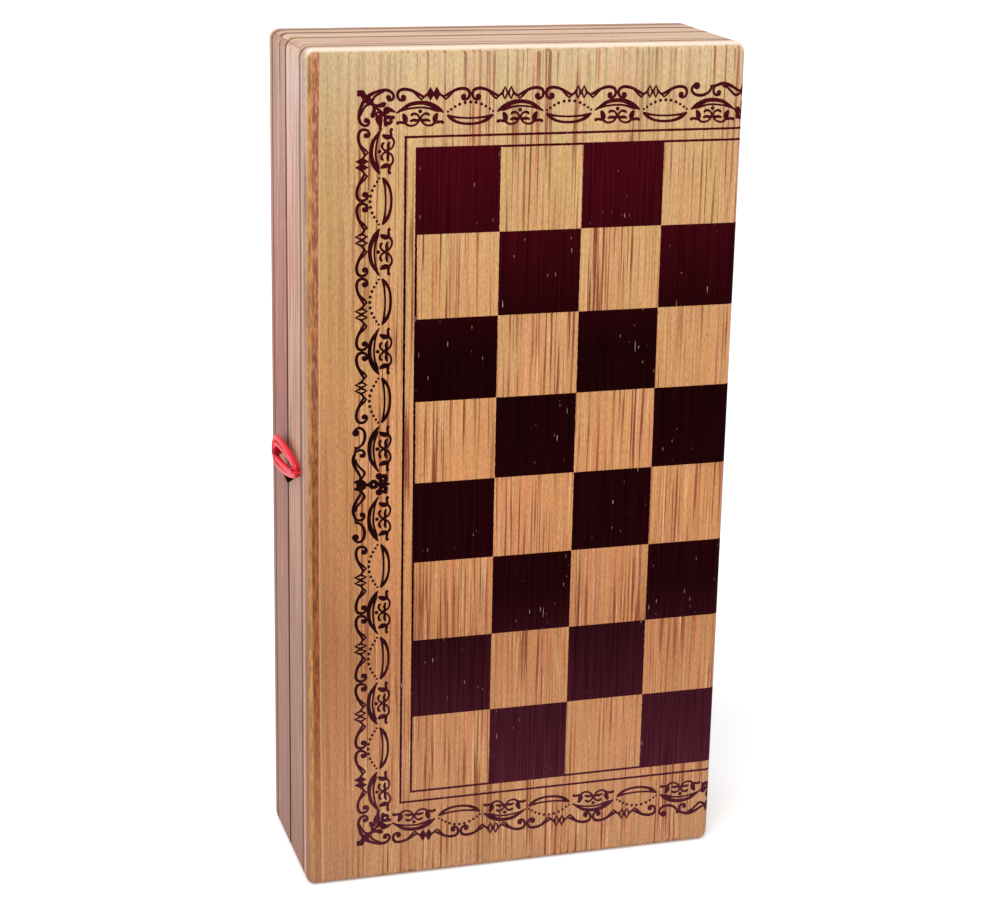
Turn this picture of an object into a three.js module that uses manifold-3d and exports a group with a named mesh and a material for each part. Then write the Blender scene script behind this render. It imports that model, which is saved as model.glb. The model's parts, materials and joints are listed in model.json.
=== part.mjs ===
// A folding wooden box that is a backgammon board inside and a chess board outside.
// It is closed and stands on a short end: two shallow trays meet rim to rim, hinged along one
// long side and held shut on the other by a soft red loop slipped over a nail.
// Millimetres. +Z runs up the long side, +X points to the hinged side, -Y out of the front face.
// The origin is on the ground, midway between the trays and midway across the wooden box.

import * as THREE from "three";
import { mergeVertices } from "three/addons/utils/BufferGeometryUtils.js";
import Module from "manifold-3d";

const wasm = await Module();
wasm.setup();

// Driving dimensions of the closed box
const boxWidth = 123.5;
const boxHeight = 240;
const boxDepth = 48;
const panelThickness = 5.8;
const railThickness = 8;
const seamGap = 0.3; // between the rims of the two trays
const glueLine = 0.1; // between two glued faces
const faceRound = 2.2; // round-over along a panel's outer edges
const outlineEasing = 0.6; // what the outline's corner radius has beyond that round-over
const rimRound = 0.8; // round-over along a tray's outer rim

// Driving dimensions of the two hinges
const hingeInset = 48; // from an end of the box to the middle of a hinge
const leafLength = 25;
const leafWidth = 7; // from the pin's axis to the far edge of a leaf
const leafThickness = 0.8;
const pinRadius = 0.9;
const pinHeadOverhang = 0.4;
const pinHeadHeight = 0.8;
const barrelWall = 0.9;
const runningClearance = 0.1; // between the pin and a knuckle
const knuckleCount = 3;
const knuckleGap = 0.2;
const woodClearance = 0.3; // between the wood and what turns in it or is let into it

// Driving dimensions of the countersunk screws
const screwHeadRadius = 1.7;
const screwShankRadius = 0.9;
const screwTipRadius = 0.25;
const screwTipLength = 2;
const screwLength = 7;
const screwSpacing = 15;
const holeClearance = 0.15; // round a screw, a nail or a leg of the staple

// Driving dimensions of the clasp
const claspRise = 3.2; // of the clasp above the middle of the box
const stapleInset = 0.8; // from the front panel to the middle of the staple's front leg
const stapleWireRadius = 0.4;
const stapleBend = 1;
const stapleLegLength = 6; // in the wood
const nailInset = 4; // from the rim to the middle of the nail
const nailShankRadius = 0.8;
const nailHeadRadius = 1.15;
const nailHeadHeight = 0.8;
const nailDepth = 7; // in the wood
const nailPointLength = 2;
const strandRadius = 0.8;
const loopLift = 1.1; // by which the loop stands further out at the nail than at the staple
const loopPlay = 0.2; // between the loop and the staple, and between the loop and the wood
const headPlay = 0.2; // between the loop and the nail's head, around it and under it
const strandGap = 0.2; // between the loop's two turns where they pass round the nail
const strandSpread = 0.3; // between their middle lines at the staple, where they run together
const innerSideRadius = 120; // of the long bows of the inner turn
const outerSideRadius = 62;

// Driving dimensions of what the box holds. The checkers stand on edge in a tray, so they are as
// wide as it is deep and a full row of them and a die is as long as it is wide, less some play.
const checkersPerSide = 15;
const checkerPlay = 0.85; // from a checker's edge to the panel, and to the middle of the seam
const rowPlay = 2.4;
const checkerEdge = 0.9; // chamfer round the rim
const checkerRimWidth = 2.05; // flat ring between the chamfer and the dish
const checkerDishDepth = 0.7;
const dieEdge = 10;
const diePipRadius = 0.95;
const diePipFloorRadius = 0.5;
const diePipDepth = 0.55;
const restGap = 0.3; // between a loose piece and what it rests on or lies beside

// Round shapes are drawn with these numbers of facets
const cornerFacets = 4;
const roundFacets = 4;
const rimFacets = 2;
const barrelFacets = 20;
const pinFacets = 16;
const screwFacets = 12;
const wireFacets = 8;
const loopSteps = 34;
const stapleSteps = 22;
const checkerFacets = 14;
const dieFacets = 12;
const pipFacets = 8;

// One overrun serves every cut
const cutOverrun = 2;

// Sizes that follow from the driving ones
const rimFace = seamGap / 2;
const railDepth = boxDepth / 2 - panelThickness - glueLine - rimFace;
const cornerRadius = faceRound + outlineEasing;
const innerWidth = boxWidth - 2 * railThickness;
const hingeAxisX = boxWidth / 2 + rimFace;
const barrelRadius = pinRadius + runningClearance + barrelWall;
const claspHeight = boxHeight / 2 + claspRise;
const nailY = rimFace + nailInset;
const stapleArc = stapleWireRadius + loopPlay + strandRadius;
const stapleReach = stapleArc + strandSpread / 2; // from the loop's pivot to either leg
const frontLegY = -boxDepth / 2 + panelThickness + glueLine + stapleInset;
const pivotY = frontLegY + stapleReach;
const pivotStandOff = strandRadius + loopPlay;
const pivotX = -boxWidth / 2 - pivotStandOff;
const crownStandOff = pivotStandOff + stapleArc;
const trayMiddle = (boxDepth / 2 - panelThickness) / 2;
const checkerRadius = trayMiddle - checkerPlay;
const rowGaps = (checkersPerSide + 2) * restGap;
const checkerThickness = (innerWidth - dieEdge - rowGaps - rowPlay) / checkersPerSide;

const wood = { color: 0xc99a68, roughness: 0.62, metalness: 0 };
const sideWood = { color: 0xc79a82, roughness: 0.66, metalness: 0 };
const brass = { color: 0xb08d4a, roughness: 0.38, metalness: 1 };
const redPlastic = { color: 0xd8242f, roughness: 0.4, metalness: 0 };
const darkChecker = { color: 0x3a1a14, roughness: 0.45, metalness: 0 };
const paleChecker = { color: 0xe2c08c, roughness: 0.5, metalness: 0 };
const ivory = { color: 0xf0ead8, roughness: 0.3, metalness: 0 };

// A closed three.js geometry as a solid that can be joined and cut
function solidOf(geometry) {
  const bare = geometry.clone();
  bare.deleteAttribute("normal");
  bare.deleteAttribute("uv");
  const merged = mergeVertices(bare);
  return new wasm.Manifold(
    new wasm.Mesh({
      numProp: 3,
      vertProperties: merged.getAttribute("position").array,
      triVerts: new Uint32Array(merged.index.array),
    }),
  );
}

// The finished solid as a geometry with flat facets
function geometryOf(solid) {
  const mesh = solid.getMesh();
  const indexed = new THREE.BufferGeometry();
  indexed.setAttribute("position", new THREE.BufferAttribute(mesh.vertProperties, mesh.numProp));
  indexed.setIndex(new THREE.BufferAttribute(mesh.triVerts, 1));
  const geometry = indexed.toNonIndexed();
  geometry.computeVertexNormals();
  return geometry;
}

function piece(name, geometry, finish) {
  const mesh = new THREE.Mesh(geometry, new THREE.MeshStandardMaterial(finish));
  mesh.name = name;
  return mesh;
}

function box(low, high) {
  const size = high.map((value, axis) => value - low[axis]);
  const middle = high.map((value, axis) => (value + low[axis]) / 2);
  return solidOf(new THREE.BoxGeometry(...size).translate(...middle));
}

// An upright cylinder between two heights, about the vertical axis
function upright(radius, low, high, facets) {
  const cylinder = new THREE.CylinderGeometry(radius, radius, high - low, facets);
  return solidOf(cylinder.rotateX(Math.PI / 2).translate(0, 0, (high + low) / 2));
}

// A cylinder that enters the latch side of the box at y, z and ends at a depth below its face
function sideHole(radius, depth, y, z) {
  const length = depth + cutOverrun;
  const cylinder = new THREE.CylinderGeometry(radius, radius, length, screwFacets);
  return solidOf(cylinder.rotateZ(Math.PI / 2).translate(-boxWidth / 2 + depth - length / 2, y, z));
}

function roundedRectangle(width, height, radius) {
  const x = width / 2 - radius;
  const y = height / 2 - radius;
  const quarter = Math.PI / 2;
  const shape = new THREE.Shape();
  shape.absarc(x, -y, radius, -quarter, 0);
  shape.absarc(x, y, radius, 0, quarter);
  shape.absarc(-x, y, radius, quarter, 2 * quarter);
  shape.absarc(-x, -y, radius, 2 * quarter, 3 * quarter);
  return shape;
}

// A board of the box's outline whose one face, at y = 0, is flat, and whose other face, at
// y = thickness, has its edges rounded over. It is a double board cut in half.
function roundedBoard(thickness, round, facets) {
  const outline = roundedRectangle(boxWidth, boxHeight, cornerRadius);
  const doubled = new THREE.ExtrudeGeometry(outline, {
    depth: 2 * (thickness - round),
    bevelThickness: round,
    bevelSize: round,
    bevelOffset: -round,
    bevelSegments: facets,
    curveSegments: cornerFacets / 2,
  });
  doubled.translate(0, 0, round - thickness).rotateX(Math.PI / 2).translate(0, 0, boxHeight / 2);
  const reach = boxHeight + cutOverrun;
  return solidOf(doubled).subtract(box([-reach, -reach, -reach], [reach, 0, reach]));
}

// The wood that a tray's four rails share: the outline, with the rim at rimFace rounded over
function railEnvelope() {
  const board = geometryOf(roundedBoard(railDepth, rimRound, rimFacets));
  board.rotateZ(Math.PI).translate(0, rimFace + railDepth, 0);
  return solidOf(board);
}

// A mitred rail whose outer edge lies at a reach from the middle of the box, turned to its side
function mitredRail(length, reach, turn) {
  const end = length / 2 - glueLine / Math.SQRT2;
  const outline = new THREE.Shape();
  outline.moveTo(-end, reach);
  outline.lineTo(railThickness - end, reach - railThickness);
  outline.lineTo(end - railThickness, reach - railThickness);
  outline.lineTo(end, reach);
  const blank = new THREE.ExtrudeGeometry(outline, { depth: railDepth, bevelEnabled: false });
  blank.rotateZ(turn).rotateX(Math.PI / 2).translate(0, rimFace + railDepth, boxHeight / 2);
  return solidOf(blank).intersect(railEnvelope());
}

// Where each knuckle of a hinge begins and ends, along the pin and from the hinge's middle
function knuckleSpan(index) {
  const pitch = (leafLength + knuckleGap) / knuckleCount;
  const low = index * pitch - leafLength / 2;
  return [low, low + pitch - knuckleGap];
}

// One leaf of a butt hinge, about a pin at the origin: its plate lies along -X, let into the rim
// on the +Y side. Even knuckles belong to the leaf of the back tray, odd ones to the front one.
function hingeLeaf(oddKnuckles) {
  const half = leafLength / 2;
  const boreRadius = pinRadius + runningClearance;
  let leaf = box([-leafWidth, rimFace, -half], [0, rimFace + leafThickness, half]);
  for (let index = 0; index < knuckleCount; index += 1) {
    const [low, high] = knuckleSpan(index);
    const own = (index % 2 === 1) === oddKnuckles;
    const relief = barrelRadius + knuckleGap;
    leaf = own
      ? leaf.add(upright(barrelRadius, low, high, barrelFacets))
      : leaf.subtract(upright(relief, low - knuckleGap, high + knuckleGap, barrelFacets));
  }
  leaf = leaf.subtract(upright(boreRadius, -leafLength, leafLength, pinFacets));
  for (const place of screwPlaces()) {
    leaf = leaf.subtract(screwSolid(holeClearance).translate(place));
  }
  return geometryOf(leaf);
}

// The two screws of a leaf, midway between its barrel and its far edge
function screwPlaces() {
  const x = -(leafWidth + barrelRadius) / 2;
  return [-screwSpacing / 2, screwSpacing / 2].map((z) => [x, rimFace, z]);
}

// A countersunk screw that points along +Y from its flush head. With a clearance it is the hole
// for one, open past the head's face.
function screwGeometry(clearance) {
  const head = screwHeadRadius + clearance;
  const shank = screwShankRadius + clearance;
  const open = clearance > 0 ? cutOverrun : 0;
  const profile = [
    new THREE.Vector2(0, -open),
    new THREE.Vector2(head, -open),
    new THREE.Vector2(head, 0),
    new THREE.Vector2(shank, leafThickness),
    new THREE.Vector2(shank, screwLength - screwTipLength),
    new THREE.Vector2(screwTipRadius + clearance, screwLength + clearance),
    new THREE.Vector2(0, screwLength + clearance),
  ];
  const outline = open > 0 ? profile : profile.toSpliced(1, 1);
  return new THREE.LatheGeometry(outline, screwFacets);
}

function screwSolid(clearance) {
  return solidOf(screwGeometry(clearance));
}

function hingePin() {
  const head = pinRadius + pinHeadOverhang;
  const end = leafLength / 2 + runningClearance;
  const tip = end + pinHeadHeight;
  const ease = pinHeadHeight / 2;
  const upper = [
    new THREE.Vector2(pinRadius, end),
    new THREE.Vector2(head, end),
    new THREE.Vector2(head, tip - ease),
    new THREE.Vector2(head - ease, tip),
    new THREE.Vector2(0, tip),
  ];
  const lower = upper.map((point) => new THREE.Vector2(point.x, -point.y)).reverse();
  return new THREE.LatheGeometry([...lower, ...upper], pinFacets).rotateX(Math.PI / 2);
}

// What a hinge needs cut out of the hinge side's rail, about the hinge's own middle
function hingeMortise() {
  const half = leafLength / 2 + woodClearance;
  const floor = rimFace + leafThickness + glueLine;
  const headEnd = leafLength / 2 + runningClearance + pinHeadHeight + woodClearance;
  let cut = box([-leafWidth - woodClearance, -cutOverrun, -half], [cutOverrun, floor, half]);
  cut = cut.add(upright(barrelRadius + woodClearance, -headEnd, headEnd, barrelFacets));
  for (const place of screwPlaces()) {
    cut = cut.add(screwSolid(holeClearance).translate(place));
  }
  return cut;
}

function hingeHeights() {
  return { lower: hingeInset, upper: boxHeight - hingeInset };
}

// One tray, its panel towards +Y and its rim at the seam, with the hinge leaves and their screws
function tray(side, claspHoles) {
  const group = new THREE.Group();
  const panel = roundedBoard(panelThickness, faceRound, roundFacets);
  const panelPiece = piece(side + "_panel", geometryOf(panel), wood);
  panelPiece.position.y = boxDepth / 2 - panelThickness;
  group.add(panelPiece);

  const upIsUp = side === "back";
  const quarter = Math.PI / 2;
  const rails = {
    [upIsUp ? "top" : "bottom"]: mitredRail(boxWidth, boxHeight / 2, 0),
    [upIsUp ? "bottom" : "top"]: mitredRail(boxWidth, boxHeight / 2, 2 * quarter),
    latch_side: mitredRail(boxHeight, boxWidth / 2, quarter),
    hinge_side: mitredRail(boxHeight, boxWidth / 2, -quarter),
  };
  for (const height of Object.values(hingeHeights())) {
    const mortise = hingeMortise().translate([hingeAxisX, 0, height]);
    rails.hinge_side = rails.hinge_side.subtract(mortise);
  }
  for (const hole of claspHoles) {
    rails.latch_side = rails.latch_side.subtract(hole);
  }
  for (const [place, rail] of Object.entries(rails)) {
    group.add(piece(side + "_rail_" + place, geometryOf(rail), sideWood));
  }

  for (const [place, height] of Object.entries(hingeHeights())) {
    const name = (upIsUp ? place : place === "lower" ? "upper" : "lower") + "_hinge_" + side;
    const hinge = new THREE.Group();
    hinge.position.set(hingeAxisX, 0, height);
    hinge.add(piece(name + "_leaf", hingeLeaf(!upIsUp), brass));
    screwPlaces().forEach((place, index) => {
      const screw = piece(name + "_screw_" + (index + 1), screwGeometry(0), brass);
      screw.position.set(...place);
      hinge.add(screw);
    });
    group.add(hinge);
  }
  return group;
}

// The front tray is the back one turned over about its cross axis, which keeps the hinged side
function turnedOver(group) {
  group.rotation.x = Math.PI;
  group.position.z = boxHeight;
  return group;
}

// The red-coated nail that the loop slips over, from its point in the wood out to its domed head
function nailProfile() {
  const underHead = pivotStandOff + loopLift + strandRadius + headPlay;
  const crown = underHead + nailHeadHeight;
  return [
    new THREE.Vector2(0, -nailDepth),
    new THREE.Vector2(nailShankRadius, nailPointLength - nailDepth),
    new THREE.Vector2(nailShankRadius, underHead),
    new THREE.Vector2(nailHeadRadius, underHead),
    new THREE.Vector2(nailHeadRadius, (underHead + crown) / 2),
    new THREE.Vector2(nailHeadRadius / 2, crown),
    new THREE.Vector2(0, crown),
  ];
}

function claspNail() {
  const nail = new THREE.LatheGeometry(nailProfile(), screwFacets).rotateZ(Math.PI / 2);
  const mesh = piece("clasp_nail", nail, redPlastic);
  mesh.position.set(-boxWidth / 2, nailY, claspHeight);
  return mesh;
}

// The staple: a red-coated wire whose crown stands clear of the side and whose legs go into the rail,
// one in front of the loop's narrow end and one through the loop
function claspStaple() {
  const inner = crownStandOff + stapleLegLength;
  const reach = stapleReach;
  const bend = stapleBend;
  const at = (x, y) => new THREE.Vector3(x, y, 0);
  const path = new THREE.CurvePath();
  path.add(new THREE.LineCurve3(at(inner, -reach), at(bend, -reach)));
  path.add(new THREE.QuadraticBezierCurve3(at(bend, -reach), at(0, -reach), at(0, bend - reach)));
  path.add(new THREE.LineCurve3(at(0, bend - reach), at(0, reach - bend)));
  path.add(new THREE.QuadraticBezierCurve3(at(0, reach - bend), at(0, reach), at(bend, reach)));
  path.add(new THREE.LineCurve3(at(bend, reach), at(inner, reach)));
  const section = new THREE.Shape().absarc(0, 0, stapleWireRadius, 0, 2 * Math.PI);
  const wire = new THREE.ExtrudeGeometry(section, {
    steps: stapleSteps,
    extrudePath: path,
    curveSegments: wireFacets / 2,
  });
  const mesh = piece("clasp_staple", wire, redPlastic);
  mesh.position.set(-boxWidth / 2 - crownStandOff, pivotY, claspHeight);
  return mesh;
}

// The middle line of one turn of the loop: an arc round the staple's leg at the origin, an arc
// round the nail at the reach, and two long bows that touch both
function turnLine(legArc, nailArc, bow, reach) {
  const toStaple = bow - legArc;
  const toNail = bow - nailArc;
  const along = (toStaple ** 2 - toNail ** 2 + reach ** 2) / (2 * reach);
  const across = Math.sqrt(toStaple ** 2 - along ** 2);
  const atStaple = Math.atan2(across, -along);
  const atNail = Math.atan2(across, reach - along);
  const line = new THREE.Path();
  line.absarc(along, -across, bow, atNail, atStaple);
  line.absarc(0, 0, legArc, atStaple, 2 * Math.PI - atStaple);
  line.absarc(along, across, bow, -atStaple, -atNail);
  line.absarc(reach, 0, nailArc, -atNail, atNail);
  return line;
}

// A round strand that follows a closed flat line and joins up with itself
function closedStrand(line) {
  const positions = [];
  const faces = [];
  for (let step = 0; step < loopSteps; step += 1) {
    const share = step / loopSteps;
    const point = line.getPointAt(share);
    const tangent = line.getTangentAt(share);
    for (let side = 0; side < wireFacets; side += 1) {
      const angle = (2 * Math.PI * side) / wireFacets;
      const outward = strandRadius * Math.cos(angle);
      positions.push(point.x + tangent.y * outward, point.y - tangent.x * outward);
      positions.push(strandRadius * Math.sin(angle));
      const next = (side + 1) % wireFacets;
      const here = step * wireFacets;
      const there = ((step + 1) % loopSteps) * wireFacets;
      faces.push(here + side, there + next, here + next);
      faces.push(here + side, there + side, there + next);
    }
  }
  const strand = new THREE.BufferGeometry();
  strand.setAttribute("position", new THREE.Float32BufferAttribute(positions, 3));
  strand.setIndex(faces);
  return solidOf(strand);
}

// The red loop: two turns side by side that run together where they pass through the staple.
// It is drawn flat, the staple's leg at the origin and the nail along +X, then stood upright
// along the side with its narrow end, about which it swings, under the staple.
function claspLoop() {
  const run = nailY - pivotY;
  const reach = Math.hypot(run, loopLift) - stapleReach;
  const nailArc = nailHeadRadius + headPlay + strandRadius;
  const outerNailArc = nailArc + 2 * strandRadius + strandGap;
  const inner = turnLine(stapleArc, nailArc, innerSideRadius, reach);
  const outer = turnLine(stapleArc + strandSpread, outerNailArc, outerSideRadius, reach);
  const loop = closedStrand(inner).add(closedStrand(outer));
  const standing = geometryOf(loop).translate(stapleReach, 0, 0);
  standing.rotateX(Math.PI / 2).rotateZ(Math.PI / 2);
  const mesh = piece("clasp_loop", standing, redPlastic);
  mesh.position.set(pivotX, pivotY, claspHeight);
  mesh.rotation.z = Math.atan2(loopLift, run);
  return mesh;
}

// A turned checker with chamfered rims and a shallow dish in each face, its axis along X
function checkerGeometry() {
  const half = checkerThickness / 2;
  const flat = checkerRadius - checkerEdge;
  const dish = flat - checkerRimWidth;
  const upper = [
    new THREE.Vector2(checkerRadius, half - checkerEdge),
    new THREE.Vector2(flat, half),
    new THREE.Vector2(dish, half),
    new THREE.Vector2(dish - checkerDishDepth, half - checkerDishDepth),
    new THREE.Vector2(0, half - checkerDishDepth),
  ];
  const lower = upper.map((point) => new THREE.Vector2(point.x, -point.y)).reverse();
  const disc = new THREE.LatheGeometry([...lower, ...upper], checkerFacets);
  return disc.rotateZ(Math.PI / 2);
}

// The die's trimming ball, as a share of half the edge, and where the pips of each face lie, as
// shares of the edge from the middle of the face
const dieTrimShare = 1.42;
const pipShare = 0.26;
const diagonalPair = [[-pipShare, -pipShare], [pipShare, pipShare]];
const otherPair = [[-pipShare, pipShare], [pipShare, -pipShare]];
const middlePair = [[-pipShare, 0], [pipShare, 0]];
const middlePip = [[0, 0]];
const pipShares = [
  middlePip,
  diagonalPair,
  [...diagonalPair, ...middlePip],
  [...diagonalPair, ...otherPair],
  [...diagonalPair, ...otherPair, ...middlePip],
  [...diagonalPair, ...otherPair, ...middlePair],
];

// The bit that drills a pip into the face at z = 0 from above, open past the face
function pipDrill() {
  const profile = [
    new THREE.Vector2(0, -diePipDepth),
    new THREE.Vector2(diePipFloorRadius, -diePipDepth),
    new THREE.Vector2(diePipRadius, 0),
    new THREE.Vector2(diePipRadius, cutOverrun),
    new THREE.Vector2(0, cutOverrun),
  ];
  return new THREE.LatheGeometry(profile, pipFacets).rotateX(Math.PI / 2);
}

// A die: a cube trimmed by a ball, with drilled pips, opposite faces adding up to seven
function dieGeometry() {
  const half = dieEdge / 2;
  const quarter = Math.PI / 2;
  const ball = new THREE.SphereGeometry(half * dieTrimShare, dieFacets, dieFacets / 2);
  let die = box([-half, -half, -half], [half, half, half]).intersect(solidOf(ball));
  const turns = [
    new THREE.Euler(0, 0, 0),
    new THREE.Euler(quarter, 0, 0),
    new THREE.Euler(0, quarter, 0),
    new THREE.Euler(0, -quarter, 0),
    new THREE.Euler(-quarter, 0, 0),
    new THREE.Euler(2 * quarter, 0, 0),
  ];
  pipShares.forEach((shares, face) => {
    const turn = new THREE.Matrix4().makeRotationFromEuler(turns[face]);
    for (const [across, up] of shares) {
      const drill = pipDrill().translate(across * dieEdge, up * dieEdge, half);
      die = die.subtract(solidOf(drill.applyMatrix4(turn)));
    }
  });
  return geometryOf(die);
}

// Fifteen checkers on edge and one die, in a row along the bottom rail of a tray
function storedRow(group, side, towards, finish) {
  const y = towards * trayMiddle;
  const disc = checkerGeometry();
  let edge = -innerWidth / 2;
  for (let count = 1; count <= checkersPerSide; count += 1) {
    const name = side + "_checker_" + String(count).padStart(2, "0");
    const checker = piece(name, disc, finish);
    const x = edge + restGap + checkerThickness / 2;
    checker.position.set(x, y, railThickness + restGap + checkerRadius);
    group.add(checker);
    edge += restGap + checkerThickness;
  }
  const die = piece(side + "_die", dieGeometry(), ivory);
  die.position.set(edge + restGap + dieEdge / 2, y, railThickness + restGap + dieEdge / 2);
  group.add(die);
}

// The back half: it carries the pins of both hinges and the nail of the clasp
function backHalf() {
  const group = new THREE.Group();
  const hole = nailShankRadius + holeClearance;
  const nailHole = sideHole(hole, nailDepth + holeClearance, nailY, claspHeight);
  group.add(tray("back", [nailHole]));
  for (const [place, height] of Object.entries(hingeHeights())) {
    const pin = piece(place + "_hinge_pin", hingePin(), brass);
    pin.position.set(hingeAxisX, 0, height);
    group.add(pin);
  }
  group.add(claspNail());
  storedRow(group, "back", 1, darkChecker);
  return group;
}

// The front half: it carries the staple, through which the loop hangs on to it
function frontHalf() {
  const group = new THREE.Group();
  const hole = stapleWireRadius + holeClearance;
  const depth = stapleLegLength + holeClearance;
  const legHoles = [frontLegY, pivotY + stapleReach].map((legY) =>
    sideHole(hole, depth, -legY, boxHeight - claspHeight),
  );
  group.add(turnedOver(tray("front", legHoles)));
  group.add(claspStaple());
  storedRow(group, "front", -1, paleChecker);
  return group;
}

const backgammonBox = new THREE.Group();
backgammonBox.add(backHalf());
backgammonBox.add(frontHalf());
backgammonBox.add(claspLoop());

export default backgammonBox;
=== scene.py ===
# %% [markdown]
# A folding backgammon board, closed and standing on its short end
#
# The object is a small wooden box of two shallow trays, hinged along one long side. Shut, its
# two faces show a printed chess board with a scroll border. Opened flat, its trays are the two
# halves of a backgammon field. A soft red loop on the side holds it shut.
#
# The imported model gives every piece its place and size, in metres, with +Z up, the hinges at +X
# and the face that the picture shows at -Y. Here the pieces get their finished surfaces: fine
# rounding, striped wood, ink, brass and plastic.

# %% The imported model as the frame
import itertools
import json
import math

import bmesh
import bpy
from bmesh.types import BMEdge, BMFace, BMVert
from mathutils import Matrix, Vector
from mathutils.geometry import interpolate_bezier


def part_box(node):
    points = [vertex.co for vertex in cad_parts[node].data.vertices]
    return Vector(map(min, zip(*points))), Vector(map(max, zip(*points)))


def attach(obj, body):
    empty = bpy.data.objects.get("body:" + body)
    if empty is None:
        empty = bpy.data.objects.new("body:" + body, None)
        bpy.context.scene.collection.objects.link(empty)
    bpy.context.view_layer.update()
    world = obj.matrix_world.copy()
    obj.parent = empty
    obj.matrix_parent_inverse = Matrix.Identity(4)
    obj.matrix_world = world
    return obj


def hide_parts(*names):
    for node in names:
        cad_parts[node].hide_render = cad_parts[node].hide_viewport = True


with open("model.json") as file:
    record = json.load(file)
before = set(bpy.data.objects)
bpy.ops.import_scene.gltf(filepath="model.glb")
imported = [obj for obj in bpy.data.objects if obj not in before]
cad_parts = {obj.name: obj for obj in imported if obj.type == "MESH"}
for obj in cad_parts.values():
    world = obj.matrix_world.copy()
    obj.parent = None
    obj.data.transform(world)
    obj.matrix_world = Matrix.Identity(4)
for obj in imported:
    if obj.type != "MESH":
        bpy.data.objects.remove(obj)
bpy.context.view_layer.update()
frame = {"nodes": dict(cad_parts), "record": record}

MM = 0.001
sides = ("front", "back")
outward_of = {"front": -1, "back": 1}
panel_low, panel_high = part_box("front_panel")
box_half_width = panel_high.x
box_height = panel_high.z
face_y = -panel_low.y
inner_face_y = -panel_high.y
panel_thickness = face_y - inner_face_y
rail_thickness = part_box("back_rail_bottom")[1].z
print("box", 2 * box_half_width, 2 * face_y, box_height, "panel", panel_thickness)

# %% [markdown]
# Helpers for pieces
#
# Every new piece is made the same way: a bmesh is shaped with operators where the piece lies,
# written to a mesh, dressed and told which body it rides on, and the nodes of the imported model
# that it replaces are hidden. Modifiers could do the rounding too, but operators leave a finished mesh.

# %% Helpers for pieces


def shown(name, data):
    """Puts a mesh, a lamp or a camera into the scene."""
    made = bpy.data.objects.new(name, data)
    bpy.context.scene.collection.objects.link(made)
    return made


def mesh_of(name, bm):
    """Writes the bmesh to a new mesh."""
    mesh = bpy.data.meshes.new(name)
    bm.to_mesh(mesh)
    bm.free()
    return mesh


def of_kind(kind, made):
    """The vertices, edges or faces among what an operator made."""
    return [part for part in made["geom"] if isinstance(part, kind)]


def finished(name, bm, finishes, body, replaced=()):
    """Writes the bmesh to a new piece that rides on a body, and hides the nodes that it replaces."""
    mesh = mesh_of(name, bm)
    for finish in finishes:
        mesh.materials.append(finish)
    made = shown(name, mesh)
    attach(made, body)
    if replaced:
        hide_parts(*replaced)


def shade(bm, flat_area):
    """Smooth shading on the small faces of a rounding, flat shading on the large flat faces."""
    for face in bm.faces:
        face.smooth = face.calc_area() < flat_area


def edges_along(bm, axis):
    """The edges that run along one axis of the frame."""
    steps = [(edge, edge.verts[1].co - edge.verts[0].co) for edge in bm.edges]
    return [edge for edge, step in steps if abs(step[axis]) > 0.999 * step.length]


def rounded(bm, edges, radius, segments):
    """Bevels edges into a rounding."""
    bmesh.ops.bevel(
        bm, geom=edges, offset=radius, offset_type="OFFSET", segments=segments,
        profile=0.5, affect="EDGES", material=-1, clamp_overlap=True,
    )


# %% [markdown]
# The camera
#
# The picture looks down on the box from its front left. The viewpoint was found from the printed
# squares, which are a grid of known size: their corners fix where the camera stands, how it is
# turned and how long its lens is. It could be aimed with a Track To constraint, but three plain
# turns say the same and leave nothing live in the file.

# %% Camera
camera_place = Vector((-0.1869, -0.6193, 0.3159))
camera_azimuth = math.radians(-16.86)
camera_elevation = math.radians(16.81)
camera_roll = math.radians(1.18)
camera_lens = 83.8

camera_data = bpy.data.cameras.new("camera")
camera_data.lens = camera_lens
camera = shown("camera", camera_data)
turn = Matrix.Rotation(camera_azimuth, 4, "Z") @ Matrix.Rotation(math.pi / 2 - camera_elevation, 4, "X")
camera.matrix_world = Matrix.Translation(camera_place) @ turn @ Matrix.Rotation(camera_roll, 4, "Z")
bpy.context.scene.camera = camera
print("camera at", tuple(camera_place), "lens", camera_lens)

# %% [markdown]
# Floor and light
#
# The picture is a product shot on white: a broad soft light with almost no shadow, a little
# stronger from above and in front. A white world gives the even part of it, and a very soft sun
# high at the front left shapes the rounded edges and puts a faint shadow under the red loop. The
# floor is a plain pale sheet that runs far past the view. It glows a little, as a sheet lit from
# below does on a product table, which keeps its shadows faint. An image of a studio could light
# it as well, but then the lacquer and the ink would mirror its lamps.

# %% Floor, world and lamps
bpy.context.scene.view_settings.view_transform = "Standard"
floor_reach = 60.0
floor_tone = 0.78
floor_glow = 0.3
world_strength = 0.8
sun_strength = 1.6
sun_spread = math.radians(30)
sun_way = Vector((-0.35, -0.45, 1.0))
white = (1, 1, 1, 1)

floor_bm = bmesh.new()
bmesh.ops.create_grid(floor_bm, x_segments=2, y_segments=2, size=floor_reach)
floor = shown("floor", mesh_of("floor", floor_bm))
floor_finish = bpy.data.materials.new("pale_floor")
floor_finish.use_nodes = True
floor_shader = floor_finish.node_tree.nodes["Principled BSDF"]
floor_shader.inputs["Base Color"].default_value = (floor_tone, floor_tone, floor_tone, 1)
floor_shader.inputs["Roughness"].default_value = 0.9
floor_shader.inputs["Emission Color"].default_value = white
floor_shader.inputs["Emission Strength"].default_value = floor_glow
floor.data.materials.append(floor_finish)

world = bpy.data.worlds.new("studio")
world.use_nodes = True
background = world.node_tree.nodes["Background"]
background.inputs["Color"].default_value = white
background.inputs["Strength"].default_value = world_strength
bpy.context.scene.world = world

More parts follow.
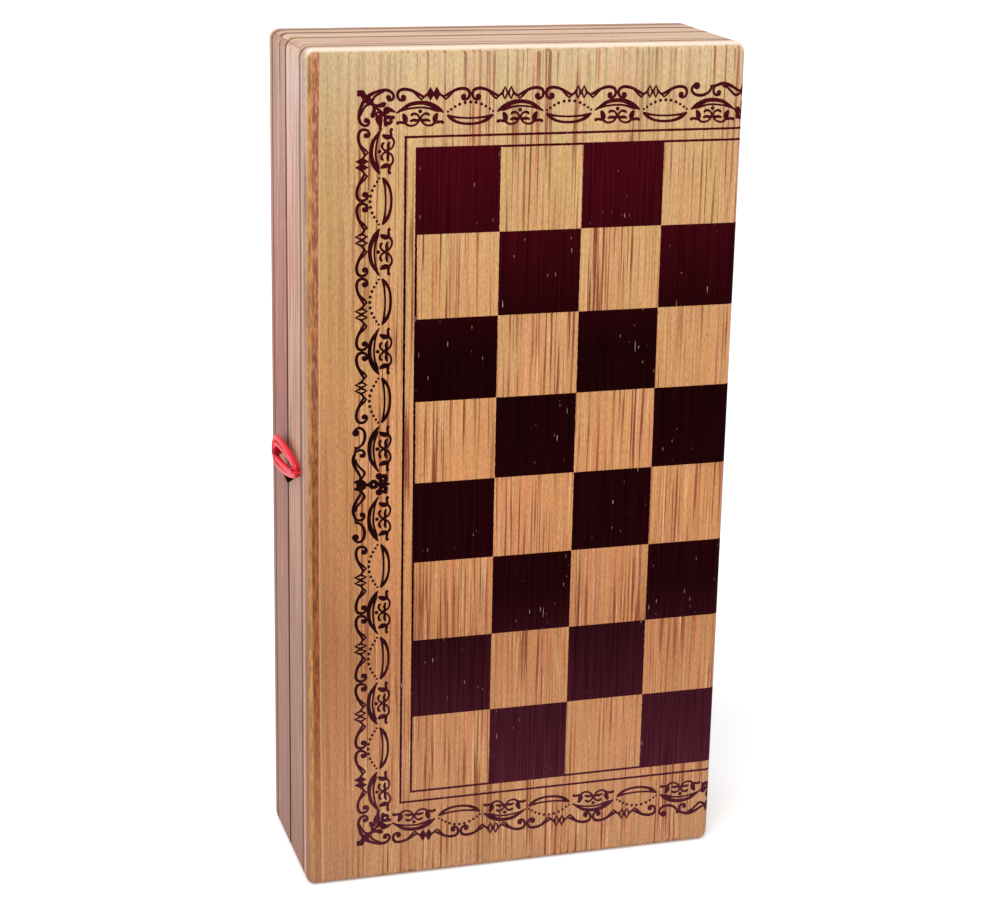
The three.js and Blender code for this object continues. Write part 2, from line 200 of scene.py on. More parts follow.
sun_data = bpy.data.lights.new("soft_sun", "SUN")
sun_data.energy = sun_strength
sun_data.angle = sun_spread
sun = shown("soft_sun", sun_data)
sun.matrix_world = sun_way.to_track_quat("Z", "Y").to_matrix().to_4x4()
print("floor, world and one soft sun")

# %% [markdown]
# Helpers for finishes
#
# The finishes are networks of nodes. These short helpers add a node, set what is written and link
# what is wired. A value that a node gives out can be added, subtracted, multiplied and divided
# like a number, and each such sum is a Math node, so that a finish below reads like a recipe.

# %% Helpers for finishes


class Value:
    """What a node gives out: a number, a place or a colour."""

    def __init__(self, socket):
        self.socket = socket
        self.tree = socket.id_data

    def __add__(self, other):
        return reckoned("ADD", self, other)

    def __sub__(self, other):
        return reckoned("SUBTRACT", self, other)

    def __rsub__(self, other):
        return reckoned("SUBTRACT", other, self)

    def __mul__(self, other):
        return reckoned("MULTIPLY", self, other)

    def __truediv__(self, other):
        return reckoned("DIVIDE", self, other)

    def __abs__(self):
        return reckoned("ABSOLUTE", self)


def set_input(socket, value):
    """Links a socket to the value of another node, or sets its own."""
    if isinstance(value, Value):
        value.tree.links.new(value.socket, socket)
    else:
        socket.default_value = value


def node(tree, kind, inputs=(), **settings):
    """Adds a node with its settings and its inputs, given as pairs of name or number and value."""
    made = tree.nodes.new(kind)
    for key, value in settings.items():
        setattr(made, key, value)
    for key, value in inputs:
        set_input(made.inputs[key], value)
    return made


def tree_of(*values):
    """The tree that the wired ones among the values belong to."""
    return next(value.tree for value in values if isinstance(value, Value))


def reckoned(operation, *values):
    """One Math node."""
    made = node(tree_of(*values), "ShaderNodeMath", enumerate(values), operation=operation)
    return Value(made.outputs[0])


def highest(first, second):
    """The greater of two values."""
    return reckoned("MAXIMUM", first, second)


def along_axes(place):
    """The X, Y and Z of a place."""
    return [Value(output) for output in node(place.tree, "ShaderNodeSeparateXYZ", [(0, place)]).outputs]


def mapped(value, low, high, low_to=0.0, high_to=1.0):
    """Maps a range of values to another range, and holds its ends."""
    limits = enumerate((value, low, high, low_to, high_to))
    return Value(node(value.tree, "ShaderNodeMapRange", limits).outputs[0])


def between(value, low, high, soft):
    """1 where the value lies from low to high, 0 outside, with soft edges."""
    rise = mapped(value, low - soft, low + soft)
    return rise * mapped(value, high - soft, high + soft, 1.0, 0.0)


def blended(share, first, second, kind="MIX"):
    """Mixes two colours by a share."""
    tree = tree_of(share, first, second)
    inputs = [(0, share), (6, first), (7, second)]
    return Value(node(tree, "ShaderNodeMix", inputs, data_type="RGBA", blend_type=kind).outputs[2])


def tinted(colour, tint, share=1.0):
    """A colour multiplied by another, or by a level that a node gives out."""
    return blended(share, colour, tint, "MULTIPLY")


def ramp(value, stops):
    """A colour ramp through (place, colour) stops."""
    made = node(value.tree, "ShaderNodeValToRGB", [(0, value)])
    elements = made.color_ramp.elements
    while len(elements) < len(stops):
        elements.new(0.5)
    for element, (place, colour) in zip(elements, stops):
        element.position = place
        element.color = colour
    return Value(made.outputs[0])


def grain(place, per_metre, detail=2.0, roughness=0.5):
    """Noise stretched along the grain: so many cells per metre along X, Y and Z of the place."""
    scaled = Value(node(place.tree, "ShaderNodeMapping", [(0, place), (3, per_metre)]).outputs[0])
    inputs = [(0, scaled), ("Scale", 1.0), ("Detail", detail), ("Roughness", roughness)]
    return Value(node(place.tree, "ShaderNodeTexNoise", inputs).outputs["Fac"])


def rgb(red, green, blue):
    """A colour given as it shows on screen, from 0 to 255, in the linear numbers of Blender."""
    shares = [value / 255 for value in (red, green, blue)]
    linear = [s / 12.92 if s <= 0.04045 else ((s + 0.055) / 1.055) ** 2.4 for s in shares]
    return (*linear, 1.0)


def grey(level):
    """A plain level as a colour, to multiply another colour by."""
    return (level, level, level, 1.0)


def new_finish(name, roughness, **constants):
    """A material with a Principled shader, its shader and the place on the object."""
    made = bpy.data.materials.new(name)
    made.use_nodes = True
    shader = made.node_tree.nodes["Principled BSDF"]
    shader.inputs["Roughness"].default_value = roughness
    for key, value in constants.items():
        shader.inputs[key.replace("_", " ")].default_value = value
    place = Value(node(made.node_tree, "ShaderNodeTexCoord").outputs["Object"])
    return made, shader, place


def relief(shader, height, depth):
    """Wires a height into the shader as bump."""
    inputs = [("Height", height), ("Distance", depth), ("Strength", 0.6)]
    set_input(shader.inputs["Normal"], Value(node(height.tree, "ShaderNodeBump", inputs).outputs[0]))


# %% [markdown]
# Striped wood
#
# The box is made of wood with fine straight stripes: tan ground with broader pinkish and greenish
# bands a few millimetres wide, and thin brown, red and pale lines between them. Short flecks lie
# along the grain, and its tone drifts from greenish at the top to orange-brown at the foot. The
# same ramp also holds painted light: paler at the top and darker towards the foot, as light from
# above falls. An image could be mapped on it, but stretched noise does the same at any size: it is
# squeezed across the grain and drawn out along it, once for each of these scales. The group below
# gives the colour, and a height for the bump.

# %% Striped wood as a node group
group_sockets = [
    ("Place", "INPUT", "NodeSocketVector"), ("Rise", "INPUT", "NodeSocketFloat"),
    ("Lines", "INPUT", "NodeSocketFloat"), ("Colour", "OUTPUT", "NodeSocketColor"),
    ("Height", "OUTPUT", "NodeSocketFloat"),
]


def stripe_group(name, tone_and_light, tints, line_colour, red_colour, pale_colour):
    """A node group: place along the grain, rise and line strength in, wood colour and height out."""
    tree = bpy.data.node_groups.new(name, "ShaderNodeTree")
    for title, way, kind in group_sockets:
        tree.interface.new_socket(title, in_out=way, socket_type=kind)
    place, rise, strength = (Value(output) for output in node(tree, "NodeGroupInput").outputs[:3])
    broad = grain(place, (200, 200, 7), 3.0, 0.65)
    # The ramp by rise is the wood's own tone drift together with painted light: paler at the top, darker
    # towards the foot.
    colour = tinted(ramp(rise / box_height, tone_and_light), ramp(broad, tints))
    middle = grain(place, (700, 700, 9), 2.0, 0.6)
    colour = tinted(colour, mapped(middle, 0.3, 0.7, 0.84, 1.1))

    patch = mapped(grain(place, (110, 110, 40), 1.0), 0.36, 0.58, 0.35, 1.0)
    strength = strength * patch
    fine = grain(place, (1250, 1250, 20), 1.0, 0.6)
    colour = blended(mapped(fine, 0.53, 0.61) * strength, colour, line_colour)
    rare = grain(place, (700, 700, 9), 1.0)
    colour = blended(mapped(rare, 0.6, 0.7, 0.0, 0.5) * strength, colour, red_colour)
    light = grain(place, (1700, 1700, 40), 1.0)
    colour = blended(mapped(light, 0.58, 0.7, 0.0, 0.4) * strength, colour, pale_colour)

    fleck = grain(place, (3000, 3000, 700), 2.0, 0.7)
    colour = tinted(colour, mapped(fleck, 0.34, 0.66, 0.83, 1.2))
    out = node(tree, "NodeGroupOutput")
    set_input(out.inputs[0], colour)
    set_input(out.inputs[1], fine * 0.6 + fleck * 0.4)
    return tree


# Ramps from the foot to the top: the wood's tone drift, and painted light from above that makes the top
# paler.
face_tone_and_light = [
    (0.0, rgb(178, 129, 90)), (0.14, rgb(184, 128, 87)), (0.3, rgb(178, 118, 73)),
    (0.47, rgb(196, 133, 84)), (0.68, rgb(195, 143, 93)), (0.87, rgb(197, 155, 105)),
    (0.99, rgb(203, 176, 138)),
]
side_tone_and_light = [
    (0.0, rgb(142, 92, 63)), (0.3, rgb(153, 103, 77)), (0.55, rgb(192, 144, 117)),
    (0.75, rgb(204, 150, 123)), (0.97, rgb(214, 184, 171)), (1.0, rgb(216, 182, 154)),
]
back_side_tone_and_light = [
    (0.0, rgb(140, 89, 72)), (0.3, rgb(150, 102, 76)), (0.55, rgb(147, 77, 57)), (0.75, rgb(175, 109, 94)),
    (0.97, rgb(194, 151, 130)),
]
face_tints = [
    (0.3, (1.0, 0.88, 0.8, 1)), (0.42, (1.0, 0.98, 0.94, 1)), (0.5, (0.95, 0.99, 0.84, 1)),
    (0.58, (1.0, 0.92, 0.92, 1)), (0.7, (0.96, 0.86, 0.76, 1)),
]
side_tints = [
    (0.3, (1.0, 0.84, 0.84, 1)), (0.43, (1.0, 0.97, 0.96, 1)), (0.5, (0.9, 0.98, 0.88, 1)),
    (0.58, (1.0, 0.92, 0.94, 1)), (0.7, (0.94, 0.84, 0.8, 1)),
]
face_lines = (rgb(124, 53, 16), rgb(170, 96, 62), rgb(228, 186, 142))
side_lines = (rgb(122, 66, 52), rgb(170, 92, 78), rgb(226, 190, 170))
face_wood = stripe_group("face_wood", face_tone_and_light, face_tints, *face_lines)
side_wood = stripe_group("side_wood", side_tone_and_light, side_tints, *side_lines)
back_side_wood = stripe_group("back_side_wood", back_side_tone_and_light, side_tints, *side_lines)
print("wood groups", face_wood.name, side_wood.name, back_side_wood.name)

# %% [markdown]
# The printed face
#
# Each panel is lacquered wood with a chess board printed on it in dark maroon ink. The front
# panel holds four files and the back panel the other four, and the two meet at the hinges. Round
# the squares run a thin line and, about three millimetres outside it, another one. The squares
# and lines are plain sums on the object's coordinates. They run over the rounded edge at the
# hinges, as the real print does. The ink is redder towards both ends of the board. Where it
# missed the wood, short pale specks lie along the grain.

# %% The print's layout
square = 23.35 * MM
grid_left = -31.25 * MM
grid_bottom = 26.5 * MM
grid_top = grid_bottom + 8 * square
line_width = 0.66 * MM
frame_gap = 3.1 * MM
print_depth = 2.1 * MM
past_the_box = 1.0
pin_low, pin_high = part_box("upper_hinge_pin")
fold_x = (pin_low.x + pin_high.x) / 2
dark_ink = [(0.1, rgb(56, 16, 28)), (0.35, rgb(20, 0, 2)), (0.65, rgb(14, 0, 0)), (0.9, rgb(52, 2, 10))]
light_ink = [(0.1, rgb(80, 32, 44)), (0.35, rgb(38, 3, 7)), (0.65, rgb(30, 0, 3)), (0.9, rgb(78, 8, 22))]
print("fold at", fold_x, "grid from", grid_left, grid_bottom, "to", grid_top)


def ink_colour(place, rise):
    """The ink: redder towards both ends, with the streaks that the grain leaves in it."""
    share = rise / box_height
    streaks = grain(place, (1500, 1500, 24), 2.0, 0.6)
    return blended(mapped(streaks, 0.35, 0.7), ramp(share, dark_ink), ramp(share, light_ink))


def bare_specks(place):
    """How bare the wood is where the ink missed it: a few short thin specks along the grain."""
    speck = grain(place, (2200, 2200, 440), 0.0)
    patch = grain(place, (50, 50, 40))
    return mapped(speck + patch * 0.25, 0.966, 0.996, 0.0, 0.42)


def line_mask(across, along_low, along_high, place_at, along):
    """A printed line at one value of across, between two values of along."""
    half = line_width / 2
    soft = 0.04 * MM
    stroke = between(across, place_at - half, place_at + half, soft)
    return stroke * between(along, along_low - half, along_high + half, soft)


def squares_and_lines(x, z, dark_first):
    """The chess squares and the two frame lines, as a mask on X and Z."""
    soft = 0.05 * MM
    file = reckoned("FLOOR", (x - grid_left) / square)
    rank = reckoned("FLOOR", (z - grid_bottom) / square)
    odd = reckoned("FLOORED_MODULO", file + rank + float(dark_first), 2.0)
    inside = between(x, grid_left, past_the_box, soft) * between(z, grid_bottom, grid_top, soft)
    mask = odd * inside
    for gap in (0.0, frame_gap):
        left, low, high = grid_left - gap, grid_bottom - gap, grid_top + gap
        mask = highest(mask, line_mask(x, low, high, left, z))
        mask = highest(mask, line_mask(z, left, past_the_box, low, x))
        mask = highest(mask, line_mask(z, left, past_the_box, high, x))
    return mask


# %% [markdown]
# Wear, stains and painted highlights on the panels
#
# Glue and handling have left a darker line where a panel meets its rails. Up the latch side's
# edge of the front run two bands, one golden and one red-brown, where the lacquer has yellowed
# and the wood has been handled; they bow a little and are worn off near the foot. The board's
# own edge carries painted highlights: a pale strip down its rounding, and cream at the top, where
# the light catches it. All of these are soft masks on the object's coordinates. They could be
# painted as an image, but masks need no unwrapping and follow the box's size. Stains are matt,
# so the gloss goes where they lie, or they would look grey.

# %% Wear, stains and painted highlights on the panels
band_bow = 0.042
band_bow_z = 125 * MM
band_least = 0.28 * MM
band_softness = 0.15 * MM
gold_band = (-61.45 * MM, -60.4 * MM)
red_band = (-60.35 * MM, -58.5 * MM)
gold_tones = [(0.25, grey(0.95)), (0.5, grey(0.8)), (0.75, grey(0.95)), (0.95, (1.0, 1.06, 1.3, 1.0))]
low_brown = [(0.38, rgb(104, 44, 8)), (0.5, rgb(128, 64, 18)), (0.62, rgb(152, 86, 36))]
high_brown = [(0.38, rgb(134, 70, 40)), (0.5, rgb(164, 98, 66)), (0.62, rgb(196, 136, 104))]
edge_depth = 0.55 * MM
plain_edge_depth = 0.2 * MM
edge_tones = [
    (0.1, grey(1.22)), (0.3, grey(1.0)), (0.45, grey(0.84)), (0.6, grey(0.8)), (0.75, grey(0.86)),
    (0.95, grey(0.74)),
]


def wood_colour(group, place, rise, strength):
    """The colour and the height that a wood group gives at a place."""
    inputs = enumerate((place, rise, strength))
    wood = node(place.tree, "ShaderNodeGroup", inputs, node_tree=group)
    return Value(wood.outputs[0]), Value(wood.outputs[1])


def stained(colour, value, middle, half, soft, tone, share):
    """A soft line of another tone, round a middle value."""
    return blended(between(value, middle - half, middle + half, soft) * share, colour, tone)


def joint_stain(colour, y):
    """The darker line where a rail meets its panel, and its mask."""
    apart = abs(y) - (inner_face_y + 0.2 * MM)
    line = between(apart, -0.9 * MM, 0.9 * MM, 0.6 * MM)
    return blended(line * 0.76, colour, rgb(112, 78, 56)), line


def dulled(shader, level, marks):
    """Takes the gloss away where a mark lies: a gap that mirrored the room would look grey."""
    gloss = shader.inputs["Specular IOR Level"]
    gloss.default_value = level
    set_input(gloss, mapped(marks, 0.0, 1.0, level, 0.0))


def banded_edge(colour, place, x, z):
    """The golden and the red-brown band that run up the latch side's edge of the front."""
    away = z - band_bow_z
    leaning = x - (away * away * band_bow + band_least)
    speckle = grain(place, (1500, 1500, 240), 2.0, 0.7)
    worn = mapped(z, 8 * MM, 60 * MM, 0.4, 1.0)
    gold = ramp(speckle, [(0.35, rgb(140, 93, 38)), (0.65, rgb(190, 142, 76))])
    gold = tinted(gold, ramp(z / box_height, gold_tones))
    colour = blended(between(leaning, *gold_band, band_softness) * worn, colour, gold)
    rise = mapped(z, 110 * MM, 225 * MM)
    brown = blended(rise, ramp(speckle, low_brown), ramp(speckle, high_brown))
    rubbed_line = red_band[1] + 0.3 * MM
    colour = stained(colour, leaning, rubbed_line, 0.12 * MM, band_softness, rgb(214, 170, 130), 0.5)
    return blended(between(leaning, *red_band, band_softness) * worn, colour, brown)


def latch_edge(colour, outer, x, z):
    """The front board's own edge: painted highlights, cream at the top and pale down the rounding, and
    darker by the rail.
    """
    near_face = mapped(outer, face_y - 2.8 * MM, face_y - 1.8 * MM)
    at_top = between(z, box_height - 2.6 * MM, past_the_box, 0.5 * MM)
    # Painted highlight: cream where the light catches the top of the board's rounded edge.
    painted_top_highlight = near_face * at_top * mapped(x, -61.6 * MM, -60.4 * MM, 0.3, 1.0)
    colour = blended(painted_top_highlight, colour, rgb(234, 214, 192))
    at_side = mapped(x, -61.2 * MM, -60.4 * MM, 1.0, 0.0)
    # Painted highlight: a pale strip down the rounding between the side and the face.
    painted_edge_highlight = between(outer, face_y - 3.8 * MM, face_y - 2.6 * MM, 0.5 * MM)
    colour = blended(painted_edge_highlight * at_side * 0.5, colour, rgb(226, 196, 184))
    colour = tinted(colour, ramp(z / box_height, edge_tones), at_side)
    by_rail = between(outer, inner_face_y + 0.5 * MM, inner_face_y + 2.4 * MM, 0.5 * MM)
    return blended(by_rail * at_side * 0.45, colour, rgb(140, 100, 80))


# %% [markdown]
# The backgammon field and the panels' finish
#
# The trays' floors are the panels' inner faces, and the backgammon field is printed on them: at
# each end of a tray stand six long points, dark and pale by turns. They are sums again: which
# point a place belongs to, and how far it lies from that point's middle line. The panels' finish
# puts everything together, from the wood up: wood, stains, the board's own edge, ink and points.
# Ink is rougher than lacquer and all but matt.

# %% The backgammon field and the panels' finish
wood_gloss = 0.3
ink_gloss_loss = 0.95
wood_roughness = 0.5
ink_roughness = 0.62
wood_relief = 0.12 * MM
points_per_end = 6
points_end_y = inner_face_y + 0.8 * MM


def field_points(x, outer, z):
    """The backgammon points printed in the tray: six at each end, dark and pale by turns."""
    wide = (box_half_width - rail_thickness) * 2 / points_per_end
    count = (x + points_per_end / 2 * wide) / wide
    across = abs(reckoned("FRACT", count) - 0.5)
    from_middle = abs(z - box_height / 2)
    tip, base = 22 * MM, box_height / 2 - rail_thickness
    width = mapped(from_middle, tip, base, 0.0, 0.47)
    point = between(width - across, 0.0, 1.0, 0.006)
    in_tray = mapped(outer, points_end_y - 0.1 * MM, points_end_y + 0.1 * MM, 1.0, 0.0)
    in_tray = in_tray * between(x, -3.1 * wide, 3.1 * wide, 0.2 * MM)
    in_tray = in_tray * mapped(from_middle, base, base + 0.6 * MM, 1.0, 0.0)
    point = point * in_tray
    above = reckoned("GREATER_THAN", z, box_height / 2)
    turn = reckoned("FLOORED_MODULO", reckoned("FLOOR", count) + above, 2.0)
    return (point * turn, rgb(62, 20, 22)), (point * (1.0 - turn), rgb(206, 160, 96))


def panel_finish(name, outward, dark_first, edge_wood, at_latch):
    """Lacquered striped wood with the printed squares on the face that looks outward along Y."""
    made, shader, place = new_finish(name, wood_roughness)
    x, y, z = along_axes(place)
    outer = y * float(outward)
    strength = mapped(x, -52 * MM, -46 * MM, 0.22, 1.0) * mapped(z, 216 * MM, 224 * MM, 1.0, 0.75)
    colour, height = wood_colour(face_wood, place, z, strength)
    margin = mapped(z, 30 * MM, 70 * MM, 0.89, 0.8) + mapped(z, 120 * MM, 180 * MM, 0.0, 0.1)
    colour = tinted(colour, mapped(x, -54 * MM, -42 * MM, margin, 1.0))
    edge_colour = wood_colour(edge_wood, place, z, 0.5)[0]
    if at_latch:
        colour = banded_edge(colour, place, x, z)
        edge_colour = latch_edge(edge_colour, outer, x, z)
    edge_colour, joint = joint_stain(edge_colour, y)
    edge_from = face_y - (edge_depth if at_latch else plain_edge_depth)
    on_edge = mapped(outer, edge_from - 0.25 * MM, edge_from + 0.25 * MM, 1.0, 0.0)
    colour = blended(on_edge, colour, edge_colour)

    wobble = grain(place, (2500, 2500, 900), 1.0)
    shift = (wobble - 0.5) * (0.3 * MM)
    mask = squares_and_lines(x + shift, z + shift, dark_first)
    mask = mask * between(outer, face_y - print_depth, past_the_box, 0.1 * MM)
    colour = blended(mask, colour, ink_colour(place, z))
    colour = blended(mask * bare_specks(place), colour, rgb(212, 186, 168))
    for share, tone in field_points(x, outer, z):
        colour = blended(share, colour, tone)

    set_input(shader.inputs["Base Color"], colour)
    set_input(shader.inputs["Roughness"], mapped(mask, 0.0, 1.0, wood_roughness, ink_roughness))
    dulled(shader, wood_gloss, highest(mask * ink_gloss_loss, joint))
    relief(shader, height, wood_relief)
    return made


front_face = panel_finish("front_face_print", -1, 0, side_wood, True)
back_face = panel_finish("back_face_print", 1, 1, back_side_wood, False)
print("panel finishes", front_face.name, back_face.name)

# %% [markdown]
# Lines, stains and painted shade on the rails
#
# The rails are the same wood, bare but for lacquer, with a few darker growth lines that sway
# along them. Where the two trays meet, painted shade darkens the seam on the outside. By the loop
# on the latch side lie two more painted marks: a dark wedge of painted shadow beside it, and
# inside it a pink painted reflection of its red plastic. These two marks lie only on the outermost
# millimetre, so that the rims and the inside stay free of them when the box is opened.

# %% The rails' finish
rail_gloss = 0.25
upright_lines = [(4.7, 0.35, 0.6)]
cross_lines = [(10.8, 1.3, 0.95), (16.2, 0.6, 0.55), (-7.5, 0.5, 0.3), (-15.0, 0.9, 0.5)]
# Where the painted shadow of the loop lies.
loop_shadow_y = 0.7 * MM
loop_shadow_z = 114.5 * MM


def growth_lines(colour, y, run, lines):
    """Darker lines along a rail, given by their place across it, their half width and their share."""
    inputs = [("W", run), ("Scale", 26.0)]
    waves = Value(node(run.tree, "ShaderNodeTexNoise", inputs, noise_dimensions="1D").outputs[0])
    swayed = y + (waves - 0.5) * (3.5 * MM)
    for middle, half, share in lines:
        colour = stained(colour, swayed, middle * MM, half * MM, 0.5 * MM, rgb(116, 50, 32), share)
    return colour


def outermost(x):
    """1 on the outer face of the latch side, 0 on what lies further in."""
    return mapped(x, -61.4 * MM, -60.9 * MM, 1.0, 0.0)


def painted_loop_shadow(colour, x, y, z):
    """Painted shadow: the dark wedge that the loop casts on the wood beside it, and its mask."""
    apart = y - loop_shadow_y
    rise = z - loop_shadow_z
    lower = highest(apart * 0.09, apart * -0.45)
    upper = 3.7 * MM - apart * 0.22
    over = mapped(rise - lower, -0.15 * MM, 0.15 * MM)
    under = mapped(upper - rise, -0.15 * MM, 0.15 * MM)
    share = over * under * outermost(x)
    tone = blended(mapped(y, 2 * MM, 6 * MM), rgb(16, 8, 4), rgb(96, 70, 44))
    return blended(share, colour, tone), share


def painted_loop_reflection(colour, x, y, z):
    """Painted reflection: the pink light that the red loop throws onto the wood inside it."""
    spot = between(y, -2 * MM, 9 * MM, 1.5 * MM) * between(z, 118.5 * MM, 124 * MM, 1.5 * MM)
    return blended(spot * outermost(x) * 0.7, colour, rgb(240, 164, 130))


def painted_seam_shade(x, y, z, cross):
    """Painted shade in the seam where the trays meet, deep on the outside and faint on the rims."""
    width = 1.2 * MM if cross else 1.0 * MM
    depth = mapped(z, 140 * MM, 225 * MM, 0.92, 0.75)
    seam_shade = mapped(abs(y), 0.65 * width, 1.3 * width, depth, 0.0)
    reach, end = (abs(z - box_height / 2), box_height / 2) if cross else (abs(x), box_half_width)
    return seam_shade * mapped(reach, end - 1.2 * MM, end - 0.8 * MM, 0.25, 1.0)


def rail_finish(name, wood, cross, lines, by_loop=False):
    """Lacquered wood with its grain along the rail, and painted shade in the seam where the trays meet."""
    made, shader, place = new_finish(name, wood_roughness)
    x, y, z = along_axes(place)
    if cross:
        quarter_turn = [(0, place), ("Rotation", (0, math.pi / 2, 0))]
        place = Value(node(place.tree, "ShaderNodeMapping", quarter_turn).outputs[0])
    colour, height = wood_colour(wood, place, z, 0.6 if cross else 1.0)
    colour = growth_lines(colour, y, x if cross else z, lines)
    colour, joint = joint_stain(colour, y)
    if by_loop:
        # Painted reflection of the red loop on the wood inside it.
        colour = painted_loop_reflection(colour, x, y, z)
    # Painted shade: the seam's groove darkened, lighter on the top where light from above reaches in.
    seam_shade = painted_seam_shade(x, y, z, cross)
    colour = blended(seam_shade, colour, rgb(126, 70, 44) if cross else rgb(48, 12, 6))
    marks = highest(joint, seam_shade)
    if by_loop:
        # Painted shadow of the loop on the wood beside it.
        colour, loop_shadow_mask = painted_loop_shadow(colour, x, y, z)
        marks = highest(marks, loop_shadow_mask)
    dulled(shader, rail_gloss, marks)
    set_input(shader.inputs["Base Color"], colour)
    relief(shader, height, wood_relief)
    return made


rail_woods = {
    ("front", "latch_side"): rail_finish("front_latch_rail_wood", side_wood, False, [], True),
    ("back", "latch_side"): rail_finish("back_latch_rail_wood", back_side_wood, False, upright_lines, True),
    "upright": rail_finish("upright_rail_wood", side_wood, False, upright_lines),
    "cross": rail_finish("cross_rail_wood", side_wood, True, cross_lines),
}
print("rail finishes", len(rail_woods))

# %% [markdown]
# Ink, metal, plastic and turned wood
#
# The scroll border is printed with the squares' ink, in strokes too fine to show specks. The
# hinges are stamped brass with a brushed, slightly tarnished skin. The loop is red soft plastic
# with a waxy gloss, and the nail and the staple are coated in two darker reds. The checkers are
# turned wood, dark and pale, whose grain runs across the disc, and the dice are cast, with ink
# in the pips.

# %% Ink, metal, plastic and turned wood


def ornament_finish():
    """The squares' ink without its specks."""
    made, shader, place = new_finish("ornament_ink", ink_roughness, Specular_IOR_Level=0.04)
    thin = mapped(grain(place, (1500, 1500, 300), 2.0), 0.62, 0.75, 0.0, 0.25)
    ink = ink_colour(place, along_axes(place)[2])
    set_input(shader.inputs["Base Color"], blended(thin, ink, rgb(118, 50, 34)))
    return made


def metal_finish(name, low, high, roughness, scratch):
    """A metal whose colour and roughness vary with fine scratches and soft tarnish."""
    made, shader, place = new_finish(name, roughness, Metallic=1.0)
    marks = grain(place, scratch, 3.0, 0.6)
    tarnish = grain(place, (400, 400, 400), 2.0)
    set_input(shader.inputs["Base Color"], ramp(marks * 0.5 + tarnish * 0.5, [(0.35, low), (0.65, high)]))
    set_input(shader.inputs["Roughness"], mapped(marks, 0.0, 1.0, roughness - 0.1, roughness + 0.15))
    relief(shader, marks, 0.02 * MM)
    return made


def red_finish(name, low, high, roughness):
    """Soft red plastic with a faint mottling and a waxy gloss."""
    made, shader, place = new_finish(name, roughness, Specular_IOR_Level=0.35)
    mottle = grain(place, (900, 900, 900), 2.0)
    set_input(shader.inputs["Base Color"], ramp(mottle, [(0.3, low), (0.7, high)]))
    relief(shader, mottle, 0.05 * MM)
    return made


def checker_finish(name, low, high):
    """Turned and polished wood, the grain across the disc along Z."""
    made, shader, place = new_finish(name, 0.38, Coat_Weight=0.3, Coat_Roughness=0.2)
    broad = grain(place, (500, 260, 60), 3.0, 0.6)
    fine = grain(place, (2600, 1700, 260), 2.0)
    set_input(shader.inputs["Base Color"], ramp(broad * 0.65 + fine * 0.35, [(0.36, low), (0.62, high)]))
    relief(shader, fine, 0.05 * MM)
    return made


def die_finish(name, low, high, roughness):
    """Cast plastic with a faint cloudiness."""
    made, shader, place = new_finish(name, roughness, Coat_Weight=0.3)
    cloud = grain(place, (300, 300, 300), 3.0)
    set_input(shader.inputs["Base Color"], ramp(cloud, [(0.3, low), (0.7, high)]))
    relief(shader, cloud, 0.03 * MM)
    return made


ornament_ink = ornament_finish()
brass_finish = metal_finish("hinge_brass", rgb(168, 130, 66), rgb(208, 172, 104), 0.36, (300, 300, 2600))
loop_plastic = red_finish("red_loop_plastic", rgb(210, 2, 28), rgb(238, 8, 46), 0.34)
staple_coating = red_finish("red_staple_coating", rgb(196, 8, 34), rgb(224, 24, 56), 0.34)
clasp_coating = red_finish("red_clasp_coating", rgb(140, 0, 26), rgb(176, 4, 34), 0.3)
dark_checker = checker_finish("dark_checker_wood", rgb(44, 18, 14), rgb(84, 38, 26))
pale_checker = checker_finish("pale_checker_wood", rgb(212, 172, 116), rgb(236, 206, 156))
die_body = die_finish("die_ivory", rgb(232, 226, 208), rgb(246, 242, 230), 0.28)
pip_ink = die_finish("pip_ink", rgb(20, 16, 16), rgb(44, 34, 32), 0.4)
print("finishes", [material.name for material in bpy.data.materials])

# %% [markdown]
# Panels
#
# A panel is one board. Its outline has small round corners, and the edge round its outer face is
# rounded over. A cube, scaled to the board and bevelled twice, first at the four corners and then
# round the face, makes it: the second rounding then runs round the corners by itself. The face
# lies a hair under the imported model's, so that the printed ornament has its place on top.

# %% Panels
outline_radius = 2.8 * MM
outline_steps = 8
face_rounding = 2.2 * MM
rounding_steps = 8
ink_height = 0.04 * MM
panel_flat_area = 2e-4


def panel_board(side, finish):
    """The board of one side, its outer face at -Y on the front and at +Y on the back."""
    low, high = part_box(side + "_panel")
    outward = outward_of[side]
    outer = max(high.y, -low.y) - ink_height
    inner = min(abs(high.y), abs(low.y))
    bm = bmesh.new()
    bmesh.ops.create_cube(bm, size=1.0)
    size = Vector((high.x - low.x, outer - inner, high.z - low.z))
    middle = ((high.x + low.x) / 2, outward * (outer + inner) / 2, size.z / 2)
    bmesh.ops.scale(bm, vec=size, verts=bm.verts)
    bmesh.ops.translate(bm, vec=middle, verts=bm.verts)
    rounded(bm, edges_along(bm, 1), outline_radius, outline_steps)
    rim = [e for e in bm.edges if all(abs(v.co.y - outward * outer) < 1e-6 for v in e.verts)]
    rounded(bm, rim, face_rounding - ink_height, rounding_steps)
    shade(bm, panel_flat_area)
    print(side, "panel", len(bm.faces), "faces")
    finished(side + "_panel_board", bm, [finish], side + "_half", [side + "_panel"])


panel_board("front", front_face)
panel_board("back", back_face)

# %% [markdown]
# Rails
#
# Four mitred rails frame each tray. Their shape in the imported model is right, with its mitres,
# mortises and screw holes, so they aren't cut again, but its edges are knife sharp. A copy is
# merged, its flat faces are joined up again, and its long edges get a small soft edge, as sanding
# leaves one. The rims are moved a little towards each other, because the shut trays of a real
# box all but touch.

# %% Rails
sanded_edge = 0.25 * MM
sanded_from = 60 * MM
seam_closing = 0.12 * MM
merge_distance = 0.002 * MM
rail_flat_area = 2e-5


